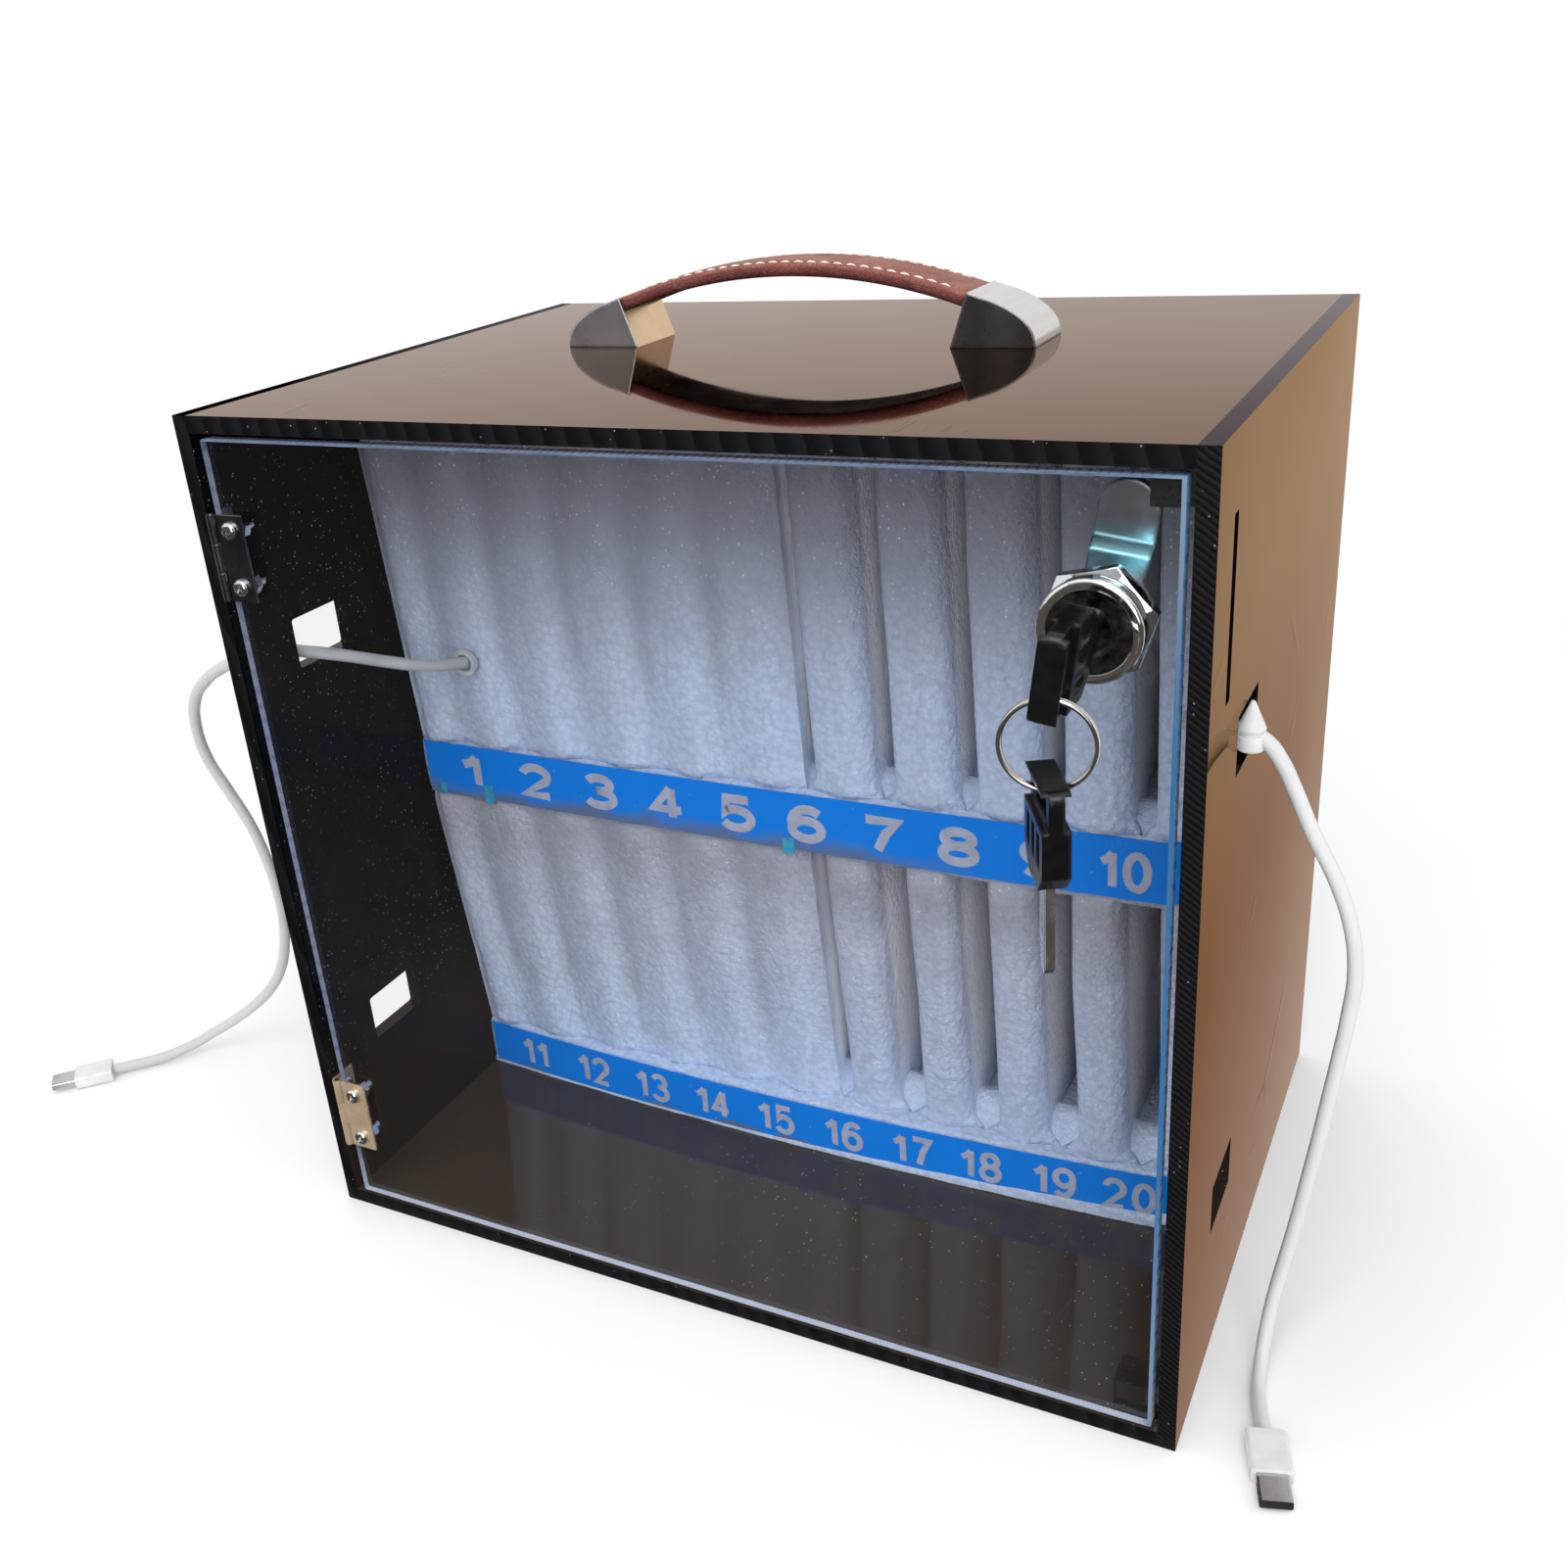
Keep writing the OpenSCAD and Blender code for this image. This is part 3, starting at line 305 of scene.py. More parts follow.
def cut_edge(name, turn, strength, scale, high):
    """A sawn edge of black acrylic, with the saw's marks."""
    p = Paint(name)
    marks = p.wave(scale, turn, 2.2, 3, "SAW")
    fine = p.noise(900, 4, 0.7)
    tone = p.mix(p.span(marks, 0.2, 0.9), (0.0025, 0.0025, 0.003), high)
    chips = specks(p, 700, 0.22, 0.05)
    p.set(Base_Color=p.mix(chips, tone, (0.16, 0.16, 0.165)), IOR=1.22)
    p.put(p.b.inputs["Roughness"], p.span(fine, 0.2, 0.8, 0.32, 0.62))
    both = p.math("ADD", marks, p.math("MULTIPLY", fine, 0.35))
    p.put(p.b.inputs["Normal"], p.bump(both, strength, 0.0006))
    return p.mat


edge_mat = cut_edge("acrylic_edge", (0, 0.2, 0), 0.12, 45, (0.006, 0.0065, 0.0075))
edge_right_mat = cut_edge("acrylic_edge_right", (0, 0.95, 0), 0.14, 210, (0.011, 0.0105, 0.0115))


def clear_acrylic():
    """Clear sheet, with the lamps let through it."""
    p = Paint("clear_acrylic")
    smear = p.noise(18, 5, 0.6)
    p.set(Base_Color=p.mix(p.span(smear, 0.3, 0.8), (0.965, 0.98, 1.0), (0.95, 0.965, 0.985)),
          Transmission_Weight=1.0, IOR=1.45, Roughness=0.0)
    p.put(p.b.inputs["Normal"], p.bump(p.noise(7, 2, 0.4), 0.05, 0.0003))
    lp = p.nt.nodes.new("ShaderNodeLightPath")
    clear = p.nt.nodes.new("ShaderNodeBsdfTransparent")
    clear.inputs[0].default_value = (0.94, 0.96, 0.98, 1)
    both = p.nt.nodes.new("ShaderNodeMixShader")
    p.nt.links.new(lp.outputs["Is Shadow Ray"], both.inputs[0])
    p.nt.links.new(p.b.outputs[0], both.inputs[1])
    p.nt.links.new(clear.outputs[0], both.inputs[2])
    p.nt.links.new(both.outputs[0], p.out.inputs[0])
    return p.mat


glass_mat = clear_acrylic()


def door_edge():
    """The sawn edge of the clear sheet, which gathers light and looks pale blue."""
    p = Paint("clear_edge")
    marks = p.wave(150, (0.3, 0.4, 0), 3, 3)
    tone = p.mix(p.noise(60, 4), (0.20, 0.24, 0.36), (0.32, 0.36, 0.48))
    low = p.span(p.axis("Z"), 0.03, 0.008)
    right = p.math("MULTIPLY", p.span(p.axis("X"), 0.125, 0.137), 0.7)
    tone = p.mix(right, tone, (0.10, 0.32, 0.62))
    tone = p.mix(low, tone, (0.52, 0.54, 0.64))
    tone = p.mix(p.span(marks, 0.3, 1.0, 0.0, 0.3), tone, (0.36, 0.42, 0.55))
    p.set(Base_Color=tone, IOR=1.3)
    p.put(p.b.inputs["Roughness"], p.span(marks, 0, 1, 0.25, 0.45))
    p.put(p.b.inputs["Normal"], p.bump(marks, 0.3, 0.0003))
    return p.mat


door_edge_mat = door_edge()


def foam_paint():
    """Expanded foam: closed cells, soft mottling and glossier skins, with painted glints, light and shade."""
    p = Paint("foam")
    cell = p.cells(430)
    small = p.cells(1150)
    mottle = p.noise(70, 5, 0.65)
    broad = p.noise(16, 3, 0.5)
    tone = p.mix(p.span(mottle, 0.3, 0.72), (0.50, 0.51, 0.60), (0.64, 0.66, 0.76))
    # painted light: each tier goes from a warm grey at its top to a brighter bluish white at its foot, where
    # more light reaches
    z = p.axis("Z")
    upper = p.span(z, 0.262, 0.152)
    lower = p.math("MULTIPLY", p.span(z, 0.122, 0.030), p.math("LESS_THAN", z, BETWEEN_TIERS))
    foot = p.math("MAXIMUM", lower, p.math("MULTIPLY", upper, p.math("GREATER_THAN", z, BETWEEN_TIERS)))
    tone = p.mix(p.math("MULTIPLY", foot, 0.9), tone, (0.63, 0.77, 1.0))
    tone = p.mix(p.span(broad, 0.35, 0.7, 0.0, 0.25), tone, (0.52, 0.52, 0.58))
    # how far behind the noses: inside the slots the cut walls are painted whiter, standing in for the light
    # that reaches into them, and show fewer cells and specks and less of the painted shadow from above
    slope = p.math("MINIMUM", p.math("ADD", p.math("MULTIPLY", z, 0.111), 0.0138),
                   p.math("ADD", p.math("MULTIPLY", z, 0.069), 0.0178))
    inside = p.span(p.math("ADD", p.axis("Y"), slope), 0.004, 0.014)
    outside = p.math("SUBTRACT", 1.0, p.math("MULTIPLY", inside, 0.6))
    shade = p.math("MULTIPLY", p.span(z, 0.175, 0.272, 0.0, 0.82), outside)
    tone = p.mix(shade, tone, (0.150, 0.140, 0.160))
    # painted shade under the shelf: the top of the lower tier is darkened
    shade_under_shelf = p.math("MULTIPLY", p.span(z, 0.088, 0.124, 0.0, 0.35), p.math("LESS_THAN", z, BETWEEN_TIERS))
    tone = p.mix(shade_under_shelf, tone, (0.22, 0.20, 0.22))
    above = p.math("MAXIMUM", p.span(z, 0.151, 0.163), p.math("LESS_THAN", z, BETWEEN_TIERS))
    above = p.math("MINIMUM", p.span(z, 0.028, 0.042), above)
    slot_wall_light = p.math("MULTIPLY", inside, p.math("ADD", p.math("MULTIPLY", above, 0.72), 0.20))
    tone = p.mix(slot_wall_light, tone, (0.96, 0.95, 0.98))
    near = p.math("SUBTRACT", 1.0, p.math("MULTIPLY", inside, 0.8))
    # painted glints: bright specks in the colour, fewer inside the slots; the same specks are also glossier
    glint_specks = p.math("MULTIPLY", specks(p, 640, 0.30, 0.24), p.span(mottle, 0.35, 0.65, 0.25, 1.0))
    glint_specks = p.math("MULTIPLY", glint_specks, near)
    tone = p.mix(p.math("MULTIPLY", glint_specks, 0.8), tone, (0.93, 0.95, 1.0))
    tone = p.mix(p.math("MULTIPLY", p.span(cell, 0.35, 0.75, 0.0, 0.28), near), tone, (0.33, 0.35, 0.46))
    # painted shade in the creases where the pinched slots meet on the left, less of it at the lit foot of
    # each tier and none inside the slots
    count = p.math("DIVIDE", p.axis("X"), SLOT_PITCH)
    pitch = p.math("FRACT", p.math("ADD", count, 10 - SLOT_FIRST / SLOT_PITCH))
    beside = p.math("MINIMUM", pitch, p.math("SUBTRACT", 1.0, pitch))
    crease_shade = p.math("MULTIPLY", p.span(beside, 0.26, 0.0, 0.0, 0.42),
                  p.span(p.axis("X"), 0.03, -0.01, 0.35, 1.0))
    crease_shade = p.math("MULTIPLY", crease_shade, p.span(foot, 0.75, 1.0, 1.0, 0.15))
    tone = p.mix(p.math("MULTIPLY", crease_shade, p.math("SUBTRACT", 1.0, inside)), tone, (0.30, 0.31, 0.38))
    p.set(Base_Color=tone, IOR=1.4)
    p.put(p.b.inputs["Roughness"], p.span(glint_specks, 0, 1, 0.62, 0.30))
    h = p.math("ADD", p.math("MULTIPLY", cell, -1.0), p.math("MULTIPLY", small, -0.45))
    h = p.math("ADD", h, p.math("MULTIPLY", mottle, 1.1))
    p.put(p.b.inputs["Normal"], p.bump(h, 0.6, 0.0010))
    return p.mat


foam_mat = foam_paint()


def film_paint(name, low, fade):
    """Printed blue film, a little rubbed, with painted shade darkening its lower edge on the left: a wide
    band on the upper strip, a thin one on the lower.
    """
    p = Paint(name)
    tone = p.mix(p.noise(26, 4), (0.0, 0.215, 0.82), (0.0, 0.262, 0.95))
    rub = p.math("MULTIPLY", specks(p, 420, 0.2, 0.06), 0.45)
    tone = p.mix(rub, tone, (0.35, 0.50, 0.78))
    # painted shade: a band along the strip's lower edge, on its left part only, is darkened to a grey blue
    z = p.math("ADD", p.axis("Z"), p.span(p.noise(45, 3), 0.3, 0.7, -0.0022, 0.0022))
    painted_lighting = p.math("MULTIPLY", p.span(z, low + fade, low, 0.0, 0.9), p.span(p.axis("X"), 0.075, 0.02))
    tone = p.mix(painted_lighting, tone, (0.13, 0.17, 0.27))
    p.set(Base_Color=tone, IOR=1.3)
    p.put(p.b.inputs["Roughness"], p.span(p.noise(120, 4), 0.3, 0.7, 0.3, 0.5))
    p.put(p.b.inputs["Normal"], p.bump(p.noise(60, 4, 0.6), 0.2, 0.0008))
    return p.mat


def plain_paint(name, a, b, scale, rough, bump, metal=0.0, ior=1.45, dist=0.0004, stretch=None, soft=0.0):
    """Two close tones in a cloud, with a matching roughness and a fine grain."""
    p = Paint(name)
    vec = p.stretch(stretch) if stretch else None
    cloud = p.noise(scale, 5, 0.6, vec)
    p.set(Base_Color=p.mix(p.span(cloud, 0.3, 0.7), a, b), Metallic=metal, IOR=ior)
    p.put(p.b.inputs["Roughness"], p.span(p.noise(scale * 1.7, 4, 0.6, vec), 0.3, 0.7, *rough))
    edges = p.rounded(soft) if soft else None
    p.put(p.b.inputs["Normal"], p.bump(p.noise(scale * 4, 4, 0.6, vec), bump, dist, edges))
    return p


def metal_paint(name, a, b, rough, scale=60, marks=0.25, stretch=None, soft=0.0):
    """Bare or plated metal with fine scratches."""
    p = plain_paint(name, a, b, scale, rough, 0.06, metal=1.0, dist=0.0002, stretch=stretch, soft=soft)
    lines = hairlines(p, 420, (0.7, 0.3, 0.4), 0.03)
    old = p.b.inputs["Roughness"].links[0].from_socket
    p.put(p.b.inputs["Roughness"], p.math("ADD", old, p.math("MULTIPLY", lines, marks)))
    return p.mat


steel_mat = metal_paint("steel", (0.40, 0.40, 0.41), (0.54, 0.54, 0.55), (0.16, 0.30))
screw_mat = metal_paint("screw_steel", (0.66, 0.66, 0.66), (0.78, 0.78, 0.77), (0.12, 0.24), 200)
chrome_mat = metal_paint("chrome", (0.93, 0.93, 0.94), (0.98, 0.98, 0.98), (0.03, 0.08), 40, 0.1, soft=0.0005)
ring_mat = metal_paint("ring_steel", (0.62, 0.60, 0.57), (0.76, 0.74, 0.71), (0.10, 0.20), 90)
blade_mat = metal_paint("key_nickel", (0.80, 0.78, 0.74), (0.92, 0.90, 0.87), (0.16, 0.28), 150)
dark_mat = metal_paint("lock_dark", (0.045, 0.044, 0.043), (0.24, 0.235, 0.225), (0.14, 0.28), 260)
cap_mat = metal_paint("cap_metal", (0.62, 0.60, 0.58), (0.67, 0.65, 0.62), (0.26, 0.32), 300, 0.1,
                      (1, 0.05, 1), 0.0010)
# painted light: the caps' flat faces get lit and shaded copies of their metal, pale on the left cap and dark
# on the right, and their inward faces a painted warm reflection
cap_face_shaded_mat = metal_paint("cap_face_painted_shade", (0.20, 0.19, 0.19), (0.26, 0.25, 0.25), (0.24, 0.32), 40, 0.02,
                           soft=0.0010)
cap_face_lit_mat = metal_paint("cap_face_painted_lit", (0.66, 0.67, 0.69), (0.74, 0.75, 0.77), (0.24, 0.32), 40, 0.02,
                           soft=0.0010)
cap_inner_reflection_mat = metal_paint("cap_inner_painted_reflection", (0.62, 0.44, 0.27), (0.70, 0.51, 0.33), (0.20, 0.30), 50, 0.02)


def leaf_paint():
    """Hinge leaves with softened edges: the upper leaf painted dark and the lower one painted warm and
    bright, for what each reflects; the lower one is also less metallic.
    """
    p = Paint("hinge_leaf")
    cloud = p.noise(110, 5, 0.6)
    low = p.span(p.axis("Z"), 0.14, 0.12)
    # painted reflection: dark for the upper leaf, warm and bright for the lower
    dark = p.mix(p.span(cloud, 0.3, 0.7), (0.12, 0.12, 0.135), (0.20, 0.20, 0.22))
    lower_leaf_reflection = p.mix(p.span(cloud, 0.3, 0.7), (0.40, 0.29, 0.185), (0.50, 0.385, 0.265))
    p.set(Base_Color=p.mix(low, dark, lower_leaf_reflection), Metallic=p.math("SUBTRACT", 1.0, p.math("MULTIPLY", low, 0.6)))
    p.put(p.b.inputs["Roughness"], p.span(p.noise(90, 4), 0.3, 0.7, 0.16, 0.30))
    p.put(p.b.inputs["Normal"], p.bump(p.noise(260, 3), 0.05, 0.0002, p.rounded(0.0004)))
    return p.mat


leaf_mat = leaf_paint()


def cam_paint():
    """Bright bluish zinc, with a painted bright cyan reflection in a band at the bend."""
    p = Paint("zinc")
    z = p.axis("Z")
    bend_reflection = p.math("MULTIPLY", p.span(z, 0.242, 0.2475), p.span(z, 0.2565, 0.2505))
    cloud = p.noise(90, 4, 0.6)
    tone = p.mix(p.span(cloud, 0.3, 0.7), (0.40, 0.42, 0.46), (0.54, 0.56, 0.60))
    tone = p.mix(p.math("MULTIPLY", bend_reflection, p.span(cloud, 0.25, 0.6, 0.55, 1.0)), tone, (0.42, 0.90, 1.0))
    p.set(Base_Color=tone, Metallic=1.0)
    p.put(p.b.inputs["Roughness"], p.span(p.noise(50, 3), 0.3, 0.7, 0.22, 0.32))
    p.put(p.b.inputs["Normal"], p.bump(p.noise(60, 2), 0.03, 0.0002, p.rounded(0.0012)))
    return p.mat


zinc_mat = cam_paint()
grip_mat = plain_paint("key_grip", (0.0022, 0.0023, 0.0027), (0.0055, 0.0056, 0.0062), 200,
                       (0.16, 0.26), 0.03, soft=0.0013).mat


def cord_paint():
    """White sheath, with painted light and shade: lighter outside the box on the right, greyer inside the box
    and on the left.
    """
    p = plain_paint("cord_white", (0.46, 0.47, 0.48), (0.54, 0.55, 0.56), 90, (0.36, 0.52), 0.12)
    sheath_tone = p.b.inputs["Base Color"].links[0].from_socket
    painted_light_tone = p.mix(p.noise(40, 3), (0.46, 0.45, 0.44), (0.52, 0.51, 0.50))
    tone = p.mix(p.span(p.axis("X"), -0.139, -0.147), sheath_tone, painted_light_tone)
    painted_light_tone = p.mix(p.noise(40, 3), (0.53, 0.54, 0.54), (0.60, 0.61, 0.61))
    p.put(p.b.inputs["Base Color"], p.mix(p.span(p.axis("X"), 0.139, 0.147), tone, painted_light_tone))
    return p.mat


white_mat = cord_paint()
sleeve_mat = plain_paint("sleeve_white", (0.58, 0.59, 0.58), (0.66, 0.67, 0.66), 140, (0.30, 0.46), 0.1).mat
digit_mat = plain_paint("print_pale", (0.40, 0.42, 0.54), (0.50, 0.52, 0.64), 240, (0.45, 0.6), 0.3).mat
thread_mat = plain_paint("thread", (0.62, 0.56, 0.50), (0.78, 0.73, 0.66), 1500, (0.6, 0.8), 0.5).mat
tape_mat = plain_paint("tape_cyan", (0.02, 0.30, 0.50), (0.05, 0.42, 0.62), 300, (0.3, 0.5), 0.2).mat
stop_mat = plain_paint("stop_black", (0.010, 0.010, 0.011), (0.020, 0.020, 0.021), 120,
                       (0.2, 0.4), 0.1, ior=1.49).mat


def leather_paint():
    """Red-brown leather: pebbled grain, creases and rubbed high spots."""
    p = Paint("leather")
    pebble = p.cells(1500)
    crease = p.cells(620, "DISTANCE_TO_EDGE")
    tone = p.mix(p.span(p.noise(55, 5), 0.3, 0.7), (0.104, 0.027, 0.025), (0.170, 0.049, 0.043))
    tone = p.mix(p.span(crease, 0.10, 0.0, 0.0, 0.45), tone, (0.085, 0.022, 0.017))
    tone = p.mix(p.span(p.noise(210, 3), 0.55, 0.8, 0.0, 0.35), tone, (0.27, 0.10, 0.085))
    # painted light and shade: a lighter upper face, as lit from above, and a near-black underside, as in
    # shade
    dx = p.math("SUBTRACT", p.axis("X"), HANDLE.x)
    dz = p.math("SUBTRACT", p.axis("Z"), HANDLE.z + ARC_C)
    reach = p.math("SQRT", p.math("ADD", p.math("MULTIPLY", dx, dx), p.math("MULTIPLY", dz, dz)))
    painted_lighting = p.mix(p.span(p.noise(130, 4), 0.3, 0.7), (0.215, 0.068, 0.050), (0.295, 0.105, 0.076))
    painted_lighting = p.mix(p.span(crease, 0.10, 0.0, 0.0, 0.45), painted_lighting, (0.13, 0.036, 0.026))
    tone = p.mix(p.span(reach, ARC_R - 0.0018, ARC_R - 0.0008), tone, painted_lighting)
    tone = p.mix(p.span(reach, ARC_R - 0.0039, ARC_R - 0.0042), tone, (0.010, 0.007, 0.006))
    p.set(Base_Color=tone, IOR=1.3)
    p.put(p.b.inputs["Roughness"], p.span(p.noise(90, 4), 0.3, 0.7, 0.42, 0.58))
    h = p.math("ADD", p.math("MULTIPLY", pebble, -0.6), p.span(crease, 0.0, 0.16, 0.0, 0.6))
    p.put(p.b.inputs["Normal"], p.bump(h, 0.55, 0.0005))
    return p.mat


leather_mat = leather_paint()
film_high_mat = film_paint("film_upper", 0.1275, 0.0065)
film_low_mat = film_paint("film_lower", 0.0065, 0.0006)

# ------------------------------------------------------------------ cords


def cord(name, node, route):
    """A charging cable along its route, which is in millimetres."""
    curve = bpy.data.curves.new(name, "CURVE")
    curve.dimensions = "3D"
    curve.resolution_u = 8
    curve.bevel_depth = CORD_D / 2
    curve.bevel_resolution = 5
    curve.use_fill_caps = True
    spline = curve.splines.new("BEZIER")
    spline.bezier_points.add(len(route) - 1)
    for point, co in zip(spline.bezier_points, route):
        point.co = Vector(co) / 1000
        point.handle_left_type = point.handle_right_type = "AUTO"
    piece = bpy.data.objects.new(name, curve)
    scene.collection.objects.link(piece)
    curve.materials.append(white_mat)
    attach(piece, "cabinet")
    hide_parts(node)


cord("cord_left", "cable_left", [
    (-110.5, -31.2, 180.5), (-113.5, -38.5, 181.8), (-119, -47, 184.5), (-125, -55, 188.2),
    (-132, -63, 192.2), (-140, -69, 194.8), (-150, -70.5, 195), (-162, -69.5, 192.5),
    (-175, -67.5, 188), (-188, -65, 182.5), (-200, -62, 175.8), (-210.5, -59, 167),
    (-217, -56, 155), (-218.5, -53, 140), (-214.5, -50.5, 126.5), (-209.8, -48.6, 113),
    (-207.4, -47, 99), (-207.2, -45.4, 85), (-208.8, -44, 71), (-212.6, -43, 57.5),
    (-218.5, -42.3, 45), (-226.5, -42.2, 34.5), (-236.5, -43, 25.2), (-247.5, -45.1, 17),
    (-258.5, -48.6, 10), (-267.5, -54, 4.8), (-275.5, -62, 2.6), (-282.5, -69.5, 2.5),
    (-289, -76, 2.5)])
cord("cord_right", "cable_right", [
    (125.5, -31.5, 187), (127.5, -38.5, 188.5), (132, -46, 191.5), (138.5, -51, 193.6),
    (144.5, -52.7, 194.2), (149.8, -53, 191.9), (153.6, -53, 187), (156.8, -53, 180.6),
    (162, -53, 169), (168.5, -53, 156.5), (173, -53, 144), (175, -53, 131),
    (174.4, -53, 117.5), (173, -53, 104), (171.4, -53, 90.5), (169.8, -53, 77),
    (168, -53.1, 63.5), (166.2, -53.4, 50), (164.2, -53.9, 37), (162.2, -55.2, 24.5),
    (161, -58, 14), (160.8, -63.5, 6.2), (161.5, -71.5, 2.9), (163.5, -80, 2.5),
    (166.5, -88.5, 2.5)])

# ------------------------------------------------------------------ CAD nodes


def coat(name, *mats, pick=None):
    """Gives a CAD node its materials; pick chooses one for each face from its normal and middle."""
    data = nodes[name].data
    data.materials.clear()
    for one in mats:
        data.materials.append(one)
    for poly in data.polygons:
        poly.material_index = pick(poly.normal, poly.center) if pick else 0


def panel_face(outer_axis, outer_at):
    """Picks a panel's material: 0 for its outer face, 1 for the rest, 2 for its front edge."""

    def pick(n, c):
        if n.y < -0.9 and c.y < FRONT + NEAR:
            return 2
        if abs(n[outer_axis]) > 0.9 and abs(c[outer_axis] - outer_at) < NEAR:
            return 0
        return 1

    return pick


# the right side's outer face carries the painted warm reflection; the left side's is plain black acrylic
coat("side_panel_left", plain_mat, inside_mat, edge_mat, pick=panel_face(0, -BOX_X))
coat("side_panel_right", side_mat, inside_mat, edge_right_mat, pick=panel_face(0, BOX_X))
coat("top_panel", top_mat, inside_mat, edge_mat, pick=panel_face(2, BOX_TOP))
coat("bottom_panel", plain_mat, sole_mat, edge_mat, pick=panel_face(2, 0.0))
coat("back_panel", plain_mat, inside_mat, edge_mat, pick=panel_face(1, BACK))
# the upper edges of the side and back panels lie in the top face, where the side rims take their painted
# reflection copies
rim_mats = {"side_panel_left": rim_left_mat, "side_panel_right": rim_right_mat}
for name in ("side_panel_left", "side_panel_right", "back_panel"):
    data = nodes[name].data
    data.materials.append(rim_mats.get(name, top_mat))
    data.materials.append(edge_mat)
    for poly in data.polygons:
        if poly.normal.z > 0.9 and poly.center.z > BOX_TOP - 0.0055:
            poly.material_index = 3
        if abs(poly.normal.y) > 0.9 and poly.center.y > BACK - NEAR and name != "back_panel":
            poly.material_index = 4
coat("door_panel", glass_mat, door_edge_mat, pick=lambda n, c: 0 if abs(n.y) > 0.5 else 1)
coat("door_stop_lower", glass_mat)
coat("door_stop_upper", stop_mat)
for name in ("hinge_wall_leaves", "hinge_door_leaves"):
    coat(name, leaf_mat)
for name in ("hinge_pins", "stop_washer"):
    coat(name, steel_mat)
for name in ("hinge_door_screws", "hinge_door_nuts", "hinge_wall_screws", "handle_screws", "cam_screw"):
    coat(name, screw_mat)
for name in ("lock_housing", "lock_nut"):
    coat(name, chrome_mat)
coat("lock_plug", dark_mat)
coat("lock_cam", zinc_mat)
coat("key_ring", ring_mat)
for name in ("key_blade", "spare_key_blade"):
    coat(name, blade_mat)
for name in ("key_bow", "spare_key_bow"):
    coat(name, grip_mat)
# the left cap's flat faces take the painted lit copy, the right cap's the painted shaded copy, and the inward
# faces the painted warm reflection
for name in ("handle_cap_left", "handle_cap_right"):
    inward = 1 if name.endswith("left") else -1
    coat(name, cap_mat, cap_face_lit_mat if inward > 0 else cap_face_shaded_mat, cap_inner_reflection_mat,
         pick=lambda n, c: 1 if abs(n.y) > 0.9 else 2 if n.x * inward > 0.7 and n.z < 0.6 else 0)
coat("number_strip_upper", film_high_mat)
coat("number_strip_lower", film_low_mat)
for name in ("cable_left_grommet", "cable_right_sleeve", "cable_left_plug_body", "cable_right_plug_body"):
    coat(name, sleeve_mat)
for name in ("cable_left_plug_shell", "cable_right_plug_shell"):
    coat(name, steel_mat)

# ------------------------------------------------------------------ mesh helpers


def piece(name, verts, faces, mat, body, slot_name, smooth=True):
    data = bpy.data.meshes.new(name)
    data.from_pydata([tuple(v) for v in verts], [], faces)
    data.update()
    for poly in data.polygons:
        poly.use_smooth = smooth
    obj = bpy.data.objects.new(name, data)
    scene.collection.objects.link(obj)
    data.materials.append(mat)
    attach(obj, body)
    return obj


def loft(rings):
    """Faces through rings of the same number of points, with both ends filled."""
    n = len(rings[0])
    verts = [v for r in rings for v in r]
    faces = []
    for i in range(len(rings) - 1):
        for k in range(n):
            a, b = i * n + k, i * n + (k + 1) % n
            faces.append((a, b, b + n, a + n))
    faces.append(tuple(reversed(range(n))))
    faces.append(tuple(range((len(rings) - 1) * n, len(rings) * n)))
    return verts, faces


# ------------------------------------------------------------------ foam


def wobble(v, size, scale, seed):
    return noise.noise(Vector((v[0] * scale + seed, v[1] * scale, v[2] * scale))) * size


def swell(x):
    """Along the box, 0 where the slots are pinched shut on the left to 1 where they stand open."""
    t = min(max((x + 0.005) / 0.030, 0), 1)
    return t * t * (3 - 2 * t)


def wall_of_foam(x0, x1, z0, z1, seed, wide):
    """One divider: a soft upright wall with a rounded nose, pinched on the left and at its foot."""
    steps = 46
    nose = 20
    middle, half = (x0 + x1) / 2, (x1 - x0) / 2
    rings = []
    for i in range(steps + 1):
        t = i / steps
        z = z0 + (z1 - z0) * t
        front = lean_y(max(z, LOW[1])) + 0.0004
        # the nose is drawn in a little under the shelf and at the floor
        draw = 0.0018 * max(0, 1 - (1 - t) * (z1 - z0) / 0.006) ** 2
        foot = 1 - math.sqrt(1 - max(0, 1 - (z - z0) / 0.005) ** 2)
        sides = []
        for x, wall in ((x0, -FOAM_X), (x1, FOAM_X)):
            spread = swell(x) * (1 - foot)
            # how far the nose swells over the slot, how deep it rounds off, how square it is
            sides.append((0 if x == wall else 0.0071 - wide * spread, 0.0030 + 0.0040 * spread, spread))
        ring = []
        for k in range(nose + 1):
            a = math.pi * k / nose
            c, s = math.cos(a), math.sin(a)
            side, deep, spread = sides[0] if c > 0 else sides[1]
            crisp = 0.55 if c > 0 else 0.80
            out = (1 - spread) * abs(c) + spread * abs(c) ** crisp
            x = middle - (half + side) * math.copysign(out, c)
            soft_nose = (1 - math.cos(math.pi * c)) / 2
            y = front + draw + deep * ((1 - spread) * soft_nose + spread * (1 - s ** 0.9))
            bend = wobble((x, y, z), 0.0010, 34, seed) + wobble((x, y, z), 0.0005, 120, seed + 9)
            lean = wobble((0, 0, z), 0.0016, 16, seed + 3) * s
            x = min(max(x + lean, x0 - sides[0][0]), x1 + sides[1][0])
            ring.append((x, y + abs(bend) * (0.25 + 0.75 * s), z))
        for y in (0.012, FOAM_Y0):
            ring.append((x1, y, z))
        for y in (FOAM_Y0, 0.012):
            ring.append((x0, y, z))
        rings.append(ring)
    return loft(rings)


